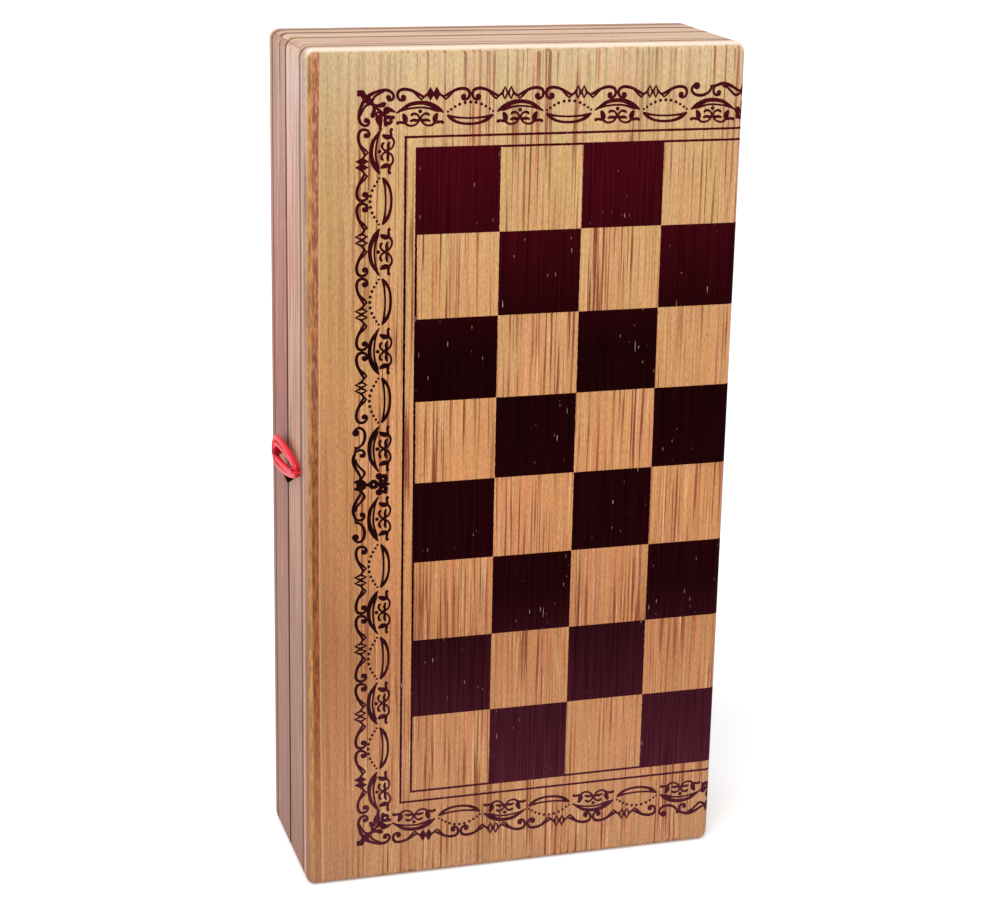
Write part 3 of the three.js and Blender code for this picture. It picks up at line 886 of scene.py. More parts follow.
def merged_copy(name):
    """A copy of a node's mesh with its loose triangles merged and its flat faces joined up."""
    bm = bmesh.new()
    bm.from_mesh(frame["nodes"][name].data)
    bmesh.ops.remove_doubles(bm, verts=bm.verts, dist=merge_distance)
    bmesh.ops.dissolve_limit(
        bm, angle_limit=math.radians(0.5), use_dissolve_boundaries=False,
        verts=bm.verts, edges=bm.edges,
    )
    return bm


def soften(bm, width, least_length):
    """A small two-step bevel on the sharp long edges."""
    folds = [e for e in bm.edges if len(e.link_faces) == 2 and e.calc_face_angle() > math.radians(40)]
    rounded(bm, [e for e in folds if e.calc_length() > least_length], width, 2)


for side in sides:
    for place in ("top", "bottom", "latch_side", "hinge_side"):
        name = f"{side}_rail_{place}"
        rail = merged_copy(name)
        rim = [v for v in rail.verts if abs(v.co.y) < 0.2 * MM]
        bmesh.ops.translate(rail, vec=(0, -outward_of[side] * seam_closing, 0), verts=rim)
        soften(rail, sanded_edge, sanded_from)
        shade(rail, rail_flat_area)
        way = "cross" if place in ("top", "bottom") else "upright"
        wood = rail_woods.get((side, place), rail_woods[way])
        finished(name + "_wood", rail, [wood], side + "_half", [name])
print("eight rails")

# %% [markdown]
# The scroll border
#
# A running border is printed round the board. It has two rows: outside, pairs of scrolls with two
# small diamonds between them, and inside, flowered arches that take turns with dotted arcs over a
# bowl. It is a common ornament on such boards. Each motif is drawn like brush work: a stroke is a
# ribbon of changing width through a few points, extruded edge by edge. A flat curve could give
# the line, but not so easily its swelling. Half a side of the border, from a corner to the
# middle, is laid out once and set round the board by turns and mirrors.
#
# The points are in millimetres: along the side, and out from the line through the corner's
# diamond, with the stroke's width as the third number.

# %% Brush strokes
stroke_steps = 5
ink_spread = 0.14
layer_step = 0.002
layer_count = 12
stroke_number = itertools.count()


def next_layer():
    """Each stroke's height over the wood, so that no two that cross lie in one plane."""
    return layer_step * (next(stroke_number) % layer_count)


def through(points):
    """A smooth line through the points, as a chain of curves whose handles follow their neighbours."""
    spots = [Vector(p) for p in points]
    line = []
    for index, (here, there) in enumerate(zip(spots, spots[1:])):
        before = spots[max(index - 1, 0)]
        after = spots[min(index + 2, len(spots) - 1)]
        handles = here + (there - before) / 6, there - (after - here) / 6
        line += interpolate_bezier(here, *handles, there, stroke_steps + 1)[:-1]
    line.append(spots[-1])
    return line


def is_new(edge, ends):
    """Whether an edge has neither of the old ends."""
    return not any(v in ends for v in edge.verts)


def joined(vert, other):
    """Whether an edge joins the two vertices."""
    return any(e.other_vert(vert) == other for e in vert.link_edges)


def ribbon(bm, points, smooth=True):
    """A flat stroke through the points, made by extruding one short edge along it."""
    line = through(points) if smooth else [Vector(p) for p in points]
    layer = next_layer()
    edge = None
    for index, spot in enumerate(line):
        ahead = line[min(index + 1, len(line) - 1)]
        behind = line[max(index - 1, 0)]
        along = Vector((ahead.x - behind.x, ahead.y - behind.y)).normalized()
        aside = Vector((-along.y, along.x)) * (spot.z + ink_spread) / 2
        if edge is None:
            ends = [bm.verts.new(), bm.verts.new()]
            edge = bm.edges.new(ends)
        else:
            grown = bmesh.ops.extrude_edge_only(bm, edges=[edge])
            edge = next(e for e in of_kind(BMEdge, grown) if is_new(e, ends))
            ends = [next(v for v in edge.verts if joined(v, end)) for end in ends]
        ends[0].co = (spot.x + aside.x, spot.y + aside.y, layer)
        ends[1].co = (spot.x - aside.x, spot.y - aside.y, layer)


def dot(bm, x, y, radius, corners=10, hole=0.0):
    """A printed dot, or a ring round a hole of a given radius."""
    if hole:
        middle = (radius + hole) / 2
        turns = [2 * math.pi * step / corners for step in range(corners + 1)]
        ring = [(x + middle * math.cos(a), y + middle * math.sin(a), radius - hole) for a in turns]
        ribbon(bm, ring, smooth=False)
    else:
        spot = Matrix.Translation((x, y, next_layer()))
        size = radius + ink_spread / 2
        bmesh.ops.create_circle(bm, cap_ends=True, segments=corners, radius=size, matrix=spot)


def stamp(name, draw):
    """A flat mesh of one motif, drawn by a function."""
    bm = bmesh.new()
    draw(bm)
    return mesh_of(name, bm)


def facing(way, points):
    """The same points, or with -1 those on the other side of the motif's middle."""
    return [(way * x, y, width) for x, y, width in points]


def across_corner(points):
    """The same points on the other side of the corner's diagonal."""
    return [(-y, -x, width) for x, y, width in points]


def both(bm, points, smooth=True):
    """A stroke and its mirror image."""
    for way in (1, -1):
        ribbon(bm, facing(way, points), smooth)


# %% [markdown]
# The motifs
#
# The outer row has scrolls that end at two diamonds, and the inner row has arches over a garland
# and dotted arcs over a bowl. A corner has a knot with flowers, and the middle of a side a star
# with flowers between two long scrolls. Each one was redrawn stroke by stroke from the picture,
# and a motif that comes again with its thick end on the other side is drawn the other way round.

# %% The motifs
bowl_dots = [
    (0, -2.78, 0.4), (1.5, -2.9, 0.4), (3.0, -3.35, 0.38), (4.2, -3.95, 0.35), (5.3, -4.65, 0.33),
    (6.2, -5.25, 0.28),
]
diamond_places = (-0.85, 0.85)


def arch(bm, way):
    """A tall thin arch, thicker towards one end, with a second line under it."""
    ribbon(bm, facing(way, [
        (-6.5, -5.45, 0.3), (-4.9, -4.45, 0.75), (-3.2, -3.35, 0.9), (-1.5, -2.9, 0.95), (0.5, -2.78, 1.0),
        (2.3, -3.1, 1.15), (4.0, -3.9, 1.25), (5.3, -4.7, 0.95), (6.4, -5.45, 0.25),
    ]))
    ribbon(bm, facing(way, [
        (-5.2, -4.85, 0.4), (-3.4, -4.35, 0.42), (-1.2, -4.08, 0.42), (0.9, -4.05, 0.45), (2.6, -4.35, 0.5),
        (4.2, -4.9, 0.5), (5.2, -5.15, 0.3),
    ]))


def garland(bm):
    """A knot with two curls and leaves, a leaf on a stem at each side and a wavy line below."""
    dot(bm, 0, -5.05, 0.5)
    both(bm, [
        (2.45, -6.3, 0.3), (2.2, -5.85, 0.62), (1.5, -5.65, 0.6), (0.8, -5.9, 0.45), (0.3, -6.5, 0.5),
        (0, -7.1, 0.6),
    ])
    both(bm, [(0, -7.25, 0.8), (0.9, -7.45, 0.7), (1.8, -7.35, 0.72), (2.8, -7.65, 0.35)])
    both(bm, [(0.4, -7.5, 0.5), (0.9, -8.3, 0.42), (2.0, -8.8, 0.45), (3.1, -8.75, 0.5), (3.9, -8.2, 0.6)])
    both(bm, [
        (4.75, -5.6, 0.35), (4.35, -6.2, 1.05), (4.05, -7.0, 1.35), (4.15, -7.7, 1.1), (4.6, -8.05, 0.7),
    ])
    both(bm, [(3.9, -8.0, 0.7), (4.8, -7.95, 0.7), (5.6, -7.85, 0.6), (6.1, -8.05, 0.85), (6.5, -8.2, 0.3)])


def flowered_arch(bm):
    """An arch over a small flower garland."""
    arch(bm, 1)
    garland(bm)


def flowered_arch_turned(bm):
    """The same with the arch's thick end on the other side."""
    arch(bm, -1)
    garland(bm)


def dotted_bowl(bm):
    """A dotted arc over a bowl drawn with two lines."""
    ribbon(bm, [
        (-6.35, -6.2, 0.4), (-5.4, -7.05, 0.75), (-4.1, -7.85, 0.7), (-2.6, -8.35, 0.6), (-0.6, -8.58, 0.6),
        (1.6, -8.48, 0.62), (3.4, -8.05, 0.75), (4.9, -7.3, 0.85), (6.3, -6.2, 0.4),
    ])
    ribbon(bm, [
        (-6.4, -6.15, 0.35), (-4.9, -6.6, 0.55), (-3.4, -6.85, 0.45), (-1.0, -7.02, 0.42),
        (1.2, -7.02, 0.42), (3.2, -6.88, 0.48), (4.8, -6.65, 0.6), (6.3, -6.2, 0.35),
    ])
    for away, out, radius in bowl_dots:
        for side in (-1, 1) if away else (1,):
            dot(bm, side * away, out, radius, 8)


def scroll(bm, way):
    """A scroll from its curled end to the diamonds, with a second line that closes a leaf."""
    dot(bm, way * 8.2, -1.25, 0.66)
    ribbon(bm, facing(way, [
        (7.75, -0.9, 0.4), (7.85, -1.75, 0.6), (8.6, -2.1, 0.6), (9.5, -1.6, 0.62), (9.8, -0.55, 0.68),
        (9.35, 0.45, 0.72), (8.1, 0.85, 0.75), (6.6, 0.68, 0.72), (5.2, 0.15, 0.66), (3.8, -0.6, 0.6),
        (2.7, -1.15, 0.55), (1.8, -0.6, 0.5), (1.2, 0.1, 0.5),
    ]))
    leaf = [(5.6, 0.2, 0.35), (4.8, -0.5, 0.45), (4.0, -1.35, 0.5), (3.25, -1.95, 0.5), (2.6, -1.2, 0.5)]
    ribbon(bm, facing(way, leaf), smooth=False)


def diamonds(bm, width):
    """Two tall diamonds side by side."""
    for middle in diamond_places:
        ribbon(bm, [
            (middle - 0.75, -0.5, width), (middle, 1.1, width), (middle + 0.75, -0.5, width),
            (middle, -2.0, width), (middle - 0.75, -0.5, width),
        ], smooth=False)


def scroll_pair(bm):
    """Two scrolls that run from curled ends to a pair of diamonds drawn as lines."""
    scroll(bm, 1)
    scroll(bm, -1)
    diamonds(bm, 0.6)


def filled_scroll_pair(bm):
    """The same with solid diamonds."""
    scroll_pair(bm)
    for middle in diamond_places:
        ribbon(bm, [(middle, 1.2, 0.1), (middle, -0.45, 1.7), (middle, -2.1, 0.1)], smooth=False)


def corner_scroll(bm):
    """The scroll that runs from the corner's knot along one side."""
    ribbon(bm, [
        (1.5, -1.1, 1.2), (2.6, -0.3, 0.85), (3.9, 0.25, 0.72), (5.1, 0.6, 0.7), (6.3, 0.72, 0.75),
        (7.4, 0.5, 0.72), (8.2, -0.1, 0.66), (8.6, -1.0, 0.62), (8.2, -1.8, 0.6), (7.3, -1.95, 0.6),
        (6.85, -1.4, 0.4),
    ])
    ribbon(bm, [(2.9, -2.0, 0.6), (3.3, -1.2, 0.55), (4.0, -0.6, 0.5), (5.2, 0.0, 0.4), (6.0, 0.35, 0.3)])
    dot(bm, 7.2, -1.25, 0.66)


def corner_flowers(bm):
    """The diamond, knot, leaves and flowers of a corner, with the corner's diamond at the origin."""
    ribbon(bm, [(-1.25, -0.05, 1.45), (0.4, -0.05, 1.6), (0.9, -0.5, 0.7)], smooth=False)
    ribbon(bm, [(0.2, -0.5, 1.1), (1.2, -1.5, 2.0), (2.3, -2.4, 1.6), (3.1, -3.1, 0.7)], smooth=False)
    for side in (list, across_corner):
        ribbon(bm, side([
            (2.9, -2.9, 0.5), (3.35, -4.0, 0.7), (3.3, -5.0, 1.05), (3.0, -5.9, 1.3), (2.5, -6.4, 0.3),
        ]))
        ribbon(bm, side([
            (6.0, -5.4, 0.5), (6.6, -4.7, 1.0), (7.4, -4.45, 1.1), (8.3, -4.8, 0.7), (9.1, -5.15, 0.2),
        ]))
        dot(bm, *side([(6.75, -4.6, 0.95)])[0], 12, 0.3)
        ribbon(bm, side([(7.9, -6.3, 0.6), (8.5, -6.5, 0.8), (8.8, -6.9, 0.3)]))
    ribbon(bm, [(3.4, -3.6, 0.5), (4.6, -4.5, 0.6), (5.6, -5.4, 0.8), (6.4, -6.2, 1.0)])
    dot(bm, 4.5, -5.6, 0.75, 10, 0.3)
    dot(bm, 7.15, -7.25, 1.3, 14, 0.4)
    ribbon(bm, [(5.2, -5.4, 0.6), (5.3, -7.0, 0.6), (5.15, -8.4, 0.6), (4.9, -9.6, 0.7)])


def middle_scroll(bm):
    """The long scroll beside the middle of a side, with its origin at the star."""
    dot(bm, 15.1, 1.05, 0.95, 12)
    ribbon(bm, [
        (15.8, 1.3, 0.6), (16.5, 0.3, 0.62), (16.2, -0.7, 0.66), (15.2, -1.4, 0.72), (13.6, -1.55, 0.75),
        (12.1, -1.05, 0.66), (11.1, -0.1, 0.6), (10.7, 1.0, 0.5),
    ])
    ribbon(bm, [
        (11.2, 1.0, 0.4), (9.5, 1.15, 0.6), (8.2, 1.6, 0.85), (7.0, 1.62, 1.0), (5.8, 1.35, 0.9),
        (4.6, 0.8, 0.75), (3.4, 0.1, 0.66), (2.4, -0.3, 0.6), (1.4, -0.3, 0.7),
    ])
    ribbon(bm, [(9.6, 1.1, 0.5), (10.15, 0.2, 0.58), (10.0, -0.9, 0.6), (9.1, -1.5, 0.6), (8.1, -1.2, 0.5)])
    dot(bm, 8.55, -0.75, 0.62)
    ribbon(bm, [
        (7.6, 1.0, 0.4), (6.2, 0.6, 0.5), (5.1, -0.3, 0.55), (4.2, -1.15, 0.6), (3.5, -1.5, 0.6),
        (2.6, -1.1, 0.6), (2.0, -0.6, 0.4),
    ])


def middle_flowers(bm):
    """The star and the flowers in the middle of a side, about the star."""
    star = [(-2.15, -0.3, 0.2), (-1.0, -0.3, 1.7), (0, -0.35, 2.2), (1.0, -0.3, 1.7), (2.15, -0.3, 0.2)]
    ribbon(bm, star)
    both(bm, [(1.1, 1.6, 0.15), (0.95, 0.4, 1.3), (0.8, -0.8, 1.5), (0.7, -1.9, 0.3)], smooth=False)
    ribbon(bm, [(0, -1.2, 1.0), (0, -3.2, 0.7)], smooth=False)
    dot(bm, 0, -4.05, 1.4, 14, 0.34)
    for away in (-1, 1):
        dot(bm, away * 1.5, -6.75, 1.35, 14, 0.26)
        dot(bm, away * 2.3, -5.55, 0.9, 12)
        ribbon(bm, [(away * 2.2, -7.3, 0.9), (away * 2.8, -7.9, 0.3)], smooth=False)
    dot(bm, 0, -5.85, 0.7)
    ribbon(bm, [(0, -6.2, 0.8), (0, -7.6, 0.7), (0.15, -8.7, 0.3)])


motifs = {f.__name__: stamp(f.__name__, f) for f in (
    flowered_arch, flowered_arch_turned, dotted_bowl, scroll_pair, filled_scroll_pair,
    corner_scroll, corner_flowers, middle_scroll, middle_flowers,
)}
print({name: len(mesh.polygons) for name, mesh in motifs.items()})

# %% [markdown]
# The layout of half a side
#
# Seven arches and bowls and four pairs of scrolls fill the way from a corner to the middle of a
# side, and a long scroll comes out from either end. The two rows have steps of their own, as the
# real border has. Only the first pair of scrolls has solid diamonds.

# %% The layout of half a side
corner_x = -46.4 * MM
corner_rise = 108.2
half_side = fold_x / MM - corner_x / MM
row = ("flowered_arch", "dotted_bowl", "flowered_arch_turned", "dotted_bowl")
row_count = 7
row_start = 15.8
row_pitch = 13.72
pairs = ("filled_scroll_pair", "scroll_pair", "scroll_pair", "scroll_pair")
pair_start = 19.4
pair_pitch = 20.4


def lay(bm, mesh, matrix):
    """Adds a copy of a flat mesh, set in place by a matrix."""
    before = len(bm.verts)
    bm.from_mesh(mesh)
    bm.verts.ensure_lookup_table()
    bmesh.ops.transform(bm, matrix=matrix, verts=bm.verts[before:])


def half_border(bm):
    """Everything from a corner, at the origin, to the middle of the side, without either's flowers."""
    for count in range(row_count):
        place = row_start + count * row_pitch
        lay(bm, motifs[row[count % len(row)]], Matrix.Translation((place, 0, 0)))
    for count, pair in enumerate(pairs):
        lay(bm, motifs[pair], Matrix.Translation((pair_start + count * pair_pitch, 0, 0)))
    lay(bm, motifs["corner_scroll"], Matrix.Identity(4))
    mirror = Matrix.Scale(-1, 4, (1, 0, 0))
    lay(bm, motifs["middle_scroll"], Matrix.Translation((half_side, 0, 0)) @ mirror)


motifs["half_border"] = stamp("half_border", half_border)
print("half a side has", len(motifs["half_border"].polygons), "faces")

# %% [markdown]
# The border on a panel
#
# One panel holds one whole side of the border, at the left, and half of two others, which end at
# the fold. The border was printed in its own pass, a little out of square with the squares, so
# it is first moved askew by a few tenths of a millimetre. What would run past the fold is cut
# off, and what lies on the rounded edge there is cut at every line of the rounding and bent down
# on it. Last, the flat strokes get the thickness of a film of ink. It could be an image on the
# board, but a film of its own has the sharp edges of a print at any distance.

# %% The border on a panel
first_layer = 0.012 * MM
cut_x = box_half_width - 0.06 * MM
film_rounding = face_rounding - ink_height
fold_start = box_half_width - film_rounding
fold_flowers_x = fold_x - 0.5 * MM

# How far the pass went astray, in millimetres: the column beside the squares, the two rows, what
# the top row does besides, and how much lower everything lies at the fold than at the corner.
column_aside, column_up, column_stretch, column_up_most = -0.35, 0.45, 0.7, 0.75
row_aside, row_up = 0.35, 0.1
top_aside, top_stretch, top_sag = -0.3, 0.8, 0.75
border_drop = 0.65


def matrix_of(along, out):
    """The turn that sends a motif's two directions to these ones."""
    along, out = Vector(along), Vector(out)
    return Matrix((along, out, along.cross(out))).transposed().to_4x4()


def border_places():
    """The matrices that set half a side, a corner's flowers and a middle's flowers on a panel."""
    scale = Matrix.Scale(MM, 4)
    middle_z = box_height / 2
    found = []
    for up in (1, -1):
        corner = Matrix.Translation((corner_x, 0, middle_z + up * corner_rise * MM))
        across = corner @ matrix_of((1, 0, 0), (0, 0, up)) @ scale
        down = corner @ matrix_of((0, 0, -up), (-1, 0, 0)) @ scale
        found += [("half_border", across), ("half_border", down), ("corner_flowers", across)]
        fold = Matrix.Translation((fold_flowers_x, 0, middle_z + up * corner_rise * MM))
        found.append(("middle_flowers", fold @ matrix_of((1, 0, 0), (0, 0, up)) @ scale))
    side_middle = Matrix.Translation((corner_x, 0, middle_z))
    found.append(("middle_flowers", side_middle @ matrix_of((0, 0, -1), (-1, 0, 0)) @ scale))
    return found


def askew(x, z):
    """How far a place is moved along X and Z, in millimetres."""
    across = (x - corner_x) / (box_half_width - corner_x)
    rise = (z - box_height / 2) / (corner_rise * MM)
    in_row = min(max(abs(rise) * 10 - 8, 0.0), 1.0)
    in_column = 1 - in_row
    at_top = in_row if rise > 0 else 0.0
    aside = column_aside * in_column + row_aside * in_row + (top_stretch * across + top_aside) * at_top
    column_rise = min(column_up + column_stretch * rise, column_up_most)
    up = column_rise * in_column + row_up * in_row - top_sag * across ** 3 * at_top
    return aside, up - border_drop * across


def cut_across(bm, x, clear):
    """Cuts everything at one value of X, and clears what lies past it when asked to."""
    bmesh.ops.bisect_plane(
        bm, geom=bm.verts[:] + bm.edges[:] + bm.faces[:], dist=1e-7,
        plane_co=(x, 0, 0), plane_no=(1, 0, 0), clear_outer=clear,
    )


def bend_over_edge(bm, outward):
    """Moves the strokes to the face, each at its own layer, and down over the rounding at the fold."""
    for vert in bm.verts:
        layer = abs(vert.co.y) + first_layer
        depth = 0.0
        if vert.co.x > fold_start:
            over = min(vert.co.x - fold_start, film_rounding)
            depth = film_rounding - math.sqrt(film_rounding ** 2 - over ** 2)
        vert.co.y = outward * (face_y - ink_height - depth + layer)


def border_print(side):
    """The ornament of one panel as a thin film of ink."""
    outward = outward_of[side]
    bm = bmesh.new()
    for motif, matrix in border_places():
        lay(bm, motifs[motif], matrix)
    for vert in bm.verts:
        aside, up = askew(vert.co.x, vert.co.z)
        vert.co.x += aside * MM
        vert.co.z += up * MM
    cut_across(bm, cut_x, True)
    for step in range(rounding_steps):
        bend = math.radians(90 * step / rounding_steps)
        cut_across(bm, fold_start + film_rounding * math.sin(bend), False)
    bend_over_edge(bm, outward)
    film = bmesh.ops.extrude_face_region(bm, geom=bm.faces[:], use_keep_orig=True)
    bmesh.ops.translate(bm, vec=(0, -outward * ink_height, 0), verts=of_kind(BMVert, film))
    bmesh.ops.recalc_face_normals(bm, faces=bm.faces)
    print(side, "border", len(bm.faces), "faces")
    finished(side + "_border_print", bm, [ornament_ink], side + "_half", ())


for side in sides:
    border_print(side)

# %% [markdown]
# Turned pieces
#
# Pins, screws, the nail and the checkers are turned, on the real object too, so they are spun
# here: half the profile is drawn beside the axis and swept once round it. A Screw modifier would
# do the same, but the operator leaves a finished mesh.

# %% Turned pieces


def turned(bm, profile, centre, axis, steps):
    """Spins a profile of (distance from the axis, height along it) points, in millimetres."""
    along = Vector(axis)
    aside = along.orthogonal().normalized()
    middle = Vector(centre)
    verts = [bm.verts.new(middle + (aside * radius + along * height) * MM) for radius, height in profile]
    edges = [bm.edges.new(pair) for pair in zip(verts, verts[1:])]
    bmesh.ops.spin(
        bm, geom=verts + edges, cent=middle, axis=along, angle=2 * math.pi, steps=steps,
        use_merge=True, use_normal_flip=False, use_duplicate=False,
    )
    bmesh.ops.remove_doubles(bm, verts=bm.verts, dist=0.001 * MM)
    bmesh.ops.recalc_face_normals(bm, faces=bm.faces)


def two_ended(profile):
    """A profile from the middle of a piece to its end, and the same to its other end."""
    return [(radius, -height) for radius, height in reversed(profile)] + profile


def smooth_all(bm, sharp_angle=35):
    """Smooth shading everywhere except across sharp edges."""
    for face in bm.faces:
        face.smooth = True
    for edge in bm.edges:
        if len(edge.link_faces) == 2 and edge.calc_face_angle() > math.radians(sharp_angle):
            edge.smooth = False


# %% [markdown]
# Hinges
#
# Each hinge is a stamped and rolled brass butt hinge: two leaves let into the rims, three
# knuckles, and a pin with rounded heads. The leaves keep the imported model's form, with its bores
# and countersinks, and only get soft edges. A screw's slot is sawn: four cuts through its flat
# head leave a small face, which is sunk. The slots stand at different angles, as they do when
# screws are driven home.

# %% Hinge leaves, pins and screws
leaf_edge = 0.12 * MM
leaf_edge_from = 3 * MM
pin_radius = 0.9
pin_head = 1.3
pin_steps = 32
screw_steps = 24
screw_profile = [(1.7, 0), (1.64, 0.06), (0.92, 0.8), (0.9, 1.4), (0.9, 5.0), (0.25, 7.0), (0, 7.0)]
slot_half_width = 0.16 * MM
slot_half_length = 1.3 * MM
slot_depth = 0.45 * MM


def hinge_leaf(name, body):
    """A leaf with its sharp edges softened."""
    leaf = merged_copy(name)
    soften(leaf, leaf_edge, leaf_edge_from)
    smooth_all(leaf)
    finished(name + "_brass", leaf, [brass_finish], body, [name])


def hinge_pin(name):
    """A pin with a domed head at each end."""
    low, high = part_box(name)
    middle = (low + high) / 2
    half = (high.z - low.z) / 2 / MM
    dome = [(pin_radius, half - 0.8), (pin_head, half - 0.8), (pin_head, half - 0.4)]
    dome += [(1.18, half - 0.18), (0.85, half - 0.04), (0.4, half), (0, half)]
    bm = bmesh.new()
    turned(bm, two_ended(dome), middle, (0, 0, 1), pin_steps)
    smooth_all(bm)
    finished(name + "_brass", bm, [brass_finish], "back_half", [name])


def screw(name, body, quarter_turns):
    """A countersunk screw whose slot is cut into its flat head."""
    low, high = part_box(name)
    inward = 1 if body == "back_half" else -1
    head = Vector(((low.x + high.x) / 2, low.y if inward > 0 else high.y, (low.z + high.z) / 2))
    bm = bmesh.new()
    turned(bm, screw_profile, head, (0, inward, 0), screw_steps)
    rim = [e for e in bm.edges if e.is_boundary]
    slot = bmesh.ops.contextual_create(bm, geom=rim)["faces"]
    angle = math.radians(90 * quarter_turns + 17)
    across = Vector((math.cos(angle), 0, math.sin(angle)))
    along = Vector((-math.sin(angle), 0, math.cos(angle)))
    ways = [(sign * across, slot_half_width) for sign in (1, -1)]
    ways += [(sign * along, slot_half_length) for sign in (1, -1)]
    for way, reach in ways:
        edges = list({e for f in slot for e in f.edges})
        verts = list({v for f in slot for v in f.verts})
        cut = bmesh.ops.bisect_plane(
            bm, geom=slot + edges + verts, dist=1e-7, plane_co=head + way * reach, plane_no=way,
        )
        slot = [min(of_kind(BMFace, cut), key=lambda face: (face.calc_center_median() - head).length)]
    bmesh.ops.recalc_face_normals(bm, faces=bm.faces)
    sunk = bmesh.ops.extrude_face_region(bm, geom=slot)
    bmesh.ops.translate(bm, vec=(0, inward * slot_depth, 0), verts=of_kind(BMVert, sunk))
    bmesh.ops.delete(bm, geom=slot, context="FACES")
    bmesh.ops.recalc_face_normals(bm, faces=bm.faces)
    smooth_all(bm)
    finished(name + "_brass", bm, [brass_finish], body, [name])


for place in ("upper", "lower"):
    hinge_pin(place + "_hinge_pin")
    for side in sides:
        hinge_leaf(f"{place}_hinge_{side}_leaf", side + "_half")
        for index in (1, 2):
            quarter_turns = 0.37 * index + 0.2 * len(side)
            screw(f"{place}_hinge_{side}_screw_{index}", side + "_half", quarter_turns)
print("two hinges")

# %% [markdown]
# Nail and staple
#
# The nail in the back rail is the hook of the clasp. It is turned: point, shank and a small domed
# head. The staple that holds the loop on the front rail is a bent wire. A ring of points is
# extruded along the wire's path, station by station, and each new ring is turned to face the way
# the wire runs there. A bevelled curve would give the same wire, but this one is a mesh at once.

# %% Wire
up = Vector((0, 0, 1))


def placed(station):
    """The matrix that sets a ring at a station, facing the way the wire runs there."""
    spot, along = (Vector(v) for v in station)
    side = up.cross(along).normalized()
    turn = Matrix((side, up, along.normalized())).transposed().to_4x4()
    return Matrix.Translation(spot) @ turn


def wire_along(bm, stations, radius, corners, closed):
    """A round wire through stations of (place, direction), made by extruding a ring."""
    here = placed(stations[0])
    circle = bmesh.ops.create_circle(bm, cap_ends=False, segments=corners, radius=radius, matrix=here)
    ring = circle["verts"]
    edges = [e for e in bm.edges if e.verts[0] in ring and e.verts[1] in ring]
    first = edges
    for station in stations[1:]:
        there = placed(station)
        grown = bmesh.ops.extrude_edge_only(bm, edges=edges)
        verts = of_kind(BMVert, grown)
        edges = [e for e in of_kind(BMEdge, grown) if all(v in verts for v in e.verts)]
        bmesh.ops.transform(bm, matrix=there @ here.inverted(), verts=verts)
        here = there
    if closed:
        bmesh.ops.bridge_loops(bm, edges=first + edges)
    else:
        bmesh.ops.holes_fill(bm, edges=first + edges, sides=0)


def arc_stations(x, y, z, radius, start, end, count):
    """Stations along a level arc about a centre."""
    found = []
    onward = 1 if end > start else -1
    for step in range(count):
        angle = start + (end - start) * step / (count - 1)
        out = Vector((math.cos(angle), math.sin(angle), 0))
        found.append((Vector((x, y, z)) + out * radius, Vector((-out.y, out.x, 0)) * onward))
    return found


# %% Nail and staple
head_thickness = 0.8
shank_radius = 0.8
nail_steps = 28
wire_radius = 0.4 * MM
wire_corners = 14
staple_bend = 1.0 * MM
bend_steps = 7

nail_low, nail_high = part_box("clasp_nail")
nail_y = (nail_low.y + nail_high.y) / 2
clasp_z = (nail_low.z + nail_high.z) / 2
head_radius = (nail_high.y - nail_low.y) / 2 / MM
crown = (-box_half_width - nail_low.x) / MM
under_head = crown - head_thickness
rim = 0.86 * head_radius
nail_profile = [(0, -7), (0.2, -6.4), (shank_radius, -5), (shank_radius, under_head)]
nail_profile += [(rim - 0.06, under_head), (rim, under_head + 0.12), (rim - 0.04, under_head + 0.35)]
nail_profile += [(0.8, crown - 0.2), (0.5, crown - 0.05), (0.25, crown), (0, crown)]
nail = bmesh.new()
turned(nail, nail_profile, (-box_half_width, nail_y, clasp_z), (-1, 0, 0), nail_steps)
smooth_all(nail, 50)
finished("clasp_nail_coated", nail, [clasp_coating], "back_half", ["clasp_nail"])

staple_low, staple_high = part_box("clasp_staple")
bend_x = staple_low.x + wire_radius + staple_bend
low_leg, high_leg = staple_low.y + wire_radius, staple_high.y - wire_radius
low_end = ((staple_high.x, low_leg, clasp_z), (-1, 0, 0))
high_end = ((staple_high.x, high_leg, clasp_z), (1, 0, 0))
bends = [
    (low_leg + staple_bend, 1.5 * math.pi, math.pi),
    (high_leg - staple_bend, math.pi, 0.5 * math.pi),
]
path = [arc_stations(bend_x, y, clasp_z, staple_bend, *angles, bend_steps) for y, *angles in bends]
staple = bmesh.new()
wire_along(staple, [low_end, *path[0], *path[1], high_end], wire_radius, wire_corners, False)
bmesh.ops.recalc_face_normals(staple, faces=staple.faces)
smooth_all(staple, 50)
finished("clasp_staple_wire", staple, [staple_coating], "front_half", ["clasp_staple"])
print("nail and staple")

# %% [markdown]
# The loop
#
# The clasp is a cord of soft red plastic, laid twice round and joined into one loop. It runs
# through the staple at its narrow end and slips over the nail at its wide end. Its two turns lie
# side by side there and run together at the staple. The line of each turn is four arcs: a small
# one round the staple's leg, a larger one round the nail, and two long bows between them. It is
# no loose cord, because both its ends are held, so it is a ring of wire like the staple.

# %% The loop
strand_radius = 0.8
strand_spread = 0.3
strand_gap = 0.2
head_play = 0.2
loop_lift = 1.1
staple_arc = 1.4
inner_bow = 120
outer_bow = 62
bow_steps = 25
leg_steps = 17
head_steps = 21
strand_corners = 16
nail_arc = head_radius + head_play + strand_radius
outer_nail_arc = nail_arc + 2 * strand_radius + strand_gap
swing = next(j for j in frame["record"]["behaviour"]["joints"] if j["name"] == "clasp_swing")
pivot = Vector(swing["pos_m"]) / MM
leg_reach = staple_arc + strand_spread / 2
run = nail_y / MM - pivot.y
loop_reach = math.hypot(run, loop_lift) - leg_reach
loop_turn = math.atan2(loop_lift, run)


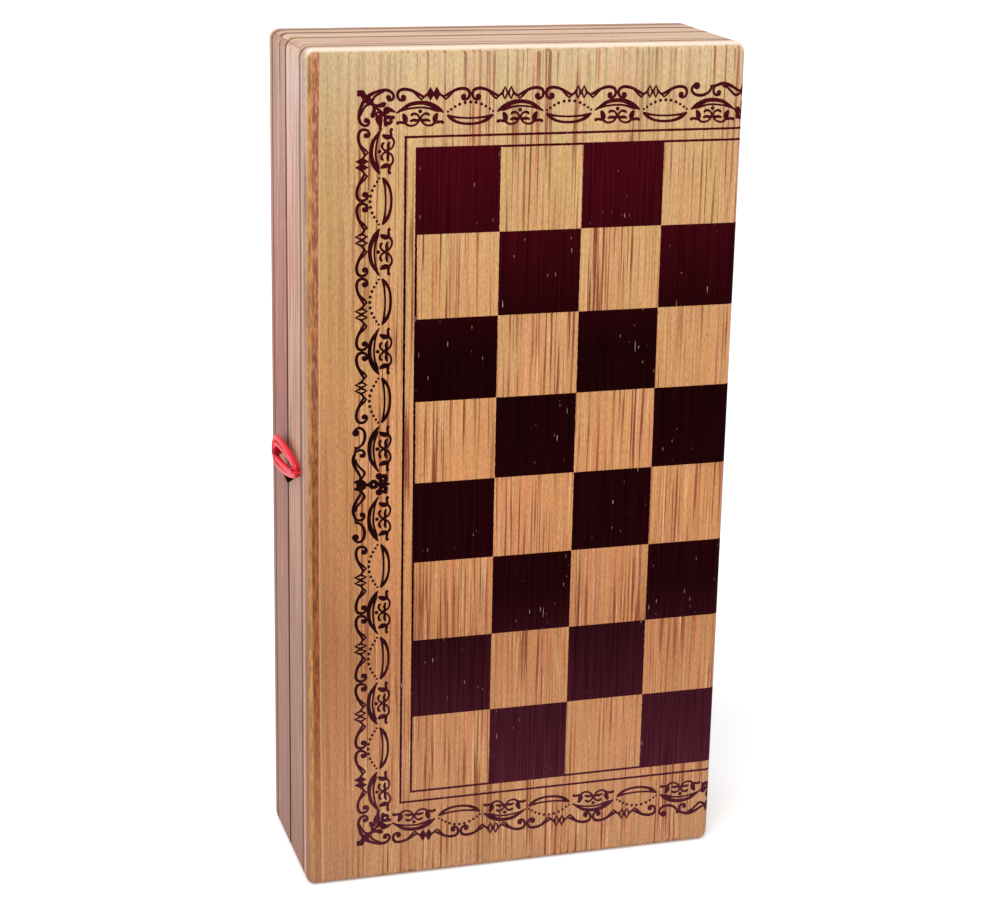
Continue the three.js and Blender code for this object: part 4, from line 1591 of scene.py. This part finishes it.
def turn_of_loop(bm, leg_arc, head_arc, bow):
    """One turn of the cord, flat at first, then stood up along the side of the box."""
    to_leg, to_head = bow - leg_arc, bow - head_arc
    along = (to_leg ** 2 - to_head ** 2 + loop_reach ** 2) / (2 * loop_reach)
    across = math.sqrt(to_leg ** 2 - along ** 2)
    at_leg = math.atan2(across, -along)
    at_head = math.atan2(across, loop_reach - along)
    parts = [
        arc_stations(along, -across, 0, bow, at_head, at_leg, bow_steps),
        arc_stations(0, 0, 0, leg_arc, at_leg, 2 * math.pi - at_leg, leg_steps),
        arc_stations(along, across, 0, bow, -at_leg, -at_head, bow_steps),
        arc_stations(loop_reach, 0, 0, head_arc, -at_head, at_head, head_steps),
    ]
    line = [station for part in parts for station in part[:-1]]
    start = len(bm.verts)
    wire_along(bm, line, strand_radius, strand_corners, True)
    bm.verts.ensure_lookup_table()
    stand = Matrix.Rotation(math.pi / 2, 4, "Z") @ Matrix.Rotation(math.pi / 2, 4, "X")
    place = Matrix.Translation(pivot * MM) @ Matrix.Rotation(loop_turn, 4, "Z") @ stand
    matrix = place @ Matrix.Scale(MM, 4) @ Matrix.Translation((leg_reach, 0, 0))
    bmesh.ops.transform(bm, matrix=matrix, verts=bm.verts[start:])


loop = bmesh.new()
turn_of_loop(loop, staple_arc, nail_arc, inner_bow)
turn_of_loop(loop, staple_arc + strand_spread, outer_nail_arc, outer_bow)
bmesh.ops.recalc_face_normals(loop, faces=loop.faces)
smooth_all(loop, 60)
finished("clasp_loop_cord", loop, [loop_plastic], "clasp_loop", ["clasp_loop"])

# %% [markdown]
# Checkers
#
# Fifteen checkers stand on edge in each tray, dark ones in the back and pale ones in the front.
# A checker is turned wood with a rounded edge, a flat rim, a groove and a shallow dish. One side
# of the profile is drawn and mirrored for the other.

# %% Checkers
checker_radius = 8.25
checker_play = 0.3
checker_steps = 40
checker_side = [
    (checker_radius, 2.1), (8.16, 2.5), (7.9, 2.82), (7.5, 3.0), (6.5, 3.0), (6.35, 2.86), (6.1, 2.86),
    (5.95, 3.0), (5.35, 3.0), (4.9, 2.45), (4.3, 2.3), (2.2, 2.3), (1.9, 2.42), (1.2, 2.42), (0.9, 2.3),
    (0, 2.3),
]
rows = (("back", dark_checker, "dark_checker"), ("front", pale_checker, "pale_checker"))
for side, finish, slot in rows:
    for count in range(1, 16):
        name = f"{side}_checker_{count:02d}"
        low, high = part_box(name)
        centre = Vector((low.x + high.x, low.y + high.y, 0)) / 2
        centre.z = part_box("back_rail_bottom")[1].z + (checker_play + checker_radius) * MM
        disc = bmesh.new()
        turned(disc, two_ended(checker_side), centre, (1, 0, 0), checker_steps)
        smooth_all(disc, 30)
        finished(name + "_wood", disc, [finish], side + "_half", [name])
print("thirty checkers")

# %% [markdown]
# Dice
#
# A die lies beside the checkers in each tray. It is a small cube with rounded edges. Cuts through
# its faces put a corner point where each pip is drilled, a bevel opens that point into a ring,
# and an inset sinks it. Pips could be painted on, but drilled ones catch the light as real ones do.

# %% Dice
die_edge = 10.0
die_rounding = 0.7
pip_step = 2.6
pip_radius = 0.95
pip_wall = 0.4
pip_depth = 0.5
die_flat_area = 1.5e-6
pip_places = {
    1: [(0, 0)],
    2: [(-1, -1), (1, 1)],
    3: [(-1, -1), (0, 0), (1, 1)],
    4: [(-1, -1), (1, 1), (-1, 1), (1, -1)],
    5: [(-1, -1), (1, 1), (-1, 1), (1, -1), (0, 0)],
    6: [(-1, -1), (1, 1), (-1, 1), (1, -1), (-1, 0), (1, 0)],
}
die_faces = {1: (2, 1), 2: (1, -1), 3: (0, 1), 4: (0, -1), 5: (1, 1), 6: (2, -1)}


def drilled_pip(bm, spot, axis):
    """Opens the corner point at a spot of a face into a round, sunk pip."""
    corner = min(bm.verts, key=lambda vert: (vert.co - spot).length)
    opened = bmesh.ops.bevel(
        bm, geom=[corner], offset=pip_radius, offset_type="OFFSET", segments=4, profile=0.5,
        affect="VERTICES", material=-1, clamp_overlap=False,
    )["faces"]
    pip = bmesh.ops.dissolve_faces(bm, faces=opened)["region"][0]
    for vert in pip.verts:
        away = vert.co - spot
        away[axis] = 0
        vert.co = spot + away.normalized() * pip_radius
    bmesh.ops.inset_individual(
        bm, faces=[pip], thickness=pip_wall, depth=-pip_depth, use_even_offset=True,
    )
    pip.material_index = 1
    for edge in pip.edges:
        for face in edge.link_faces:
            face.material_index = 1


def die(name, body):
    """A die with rounded edges and drilled pips, opposite faces adding up to seven."""
    bm = bmesh.new()
    bmesh.ops.create_cube(bm, size=die_edge)
    rounded(bm, bm.edges[:], die_rounding, 4)
    for axis in range(3):
        for step in (-pip_step, 0, pip_step):
            point, normal = Vector((0, 0, 0)), Vector((0, 0, 0))
            point[axis], normal[axis] = step, 1
            everything = bm.verts[:] + bm.edges[:] + bm.faces[:]
            bmesh.ops.bisect_plane(bm, geom=everything, dist=1e-5, plane_co=point, plane_no=normal)
    for value, (axis, outward) in die_faces.items():
        for first, second in pip_places[value]:
            spot = Vector((0, 0, 0))
            spot[axis] = outward * die_edge / 2
            spot[(axis + 1) % 3] = first * pip_step
            spot[(axis + 2) % 3] = second * pip_step
            drilled_pip(bm, spot, axis)
    low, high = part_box(name)
    matrix = Matrix.Translation((low + high) / 2) @ Matrix.Scale(MM, 4)
    bmesh.ops.transform(bm, matrix=matrix, verts=bm.verts)
    shade(bm, die_flat_area)
    finished(name + "_cast", bm, [die_body, pip_ink], body, [name])


die("back_die", "back_half")
die("front_die", "front_half")
print("two dice")
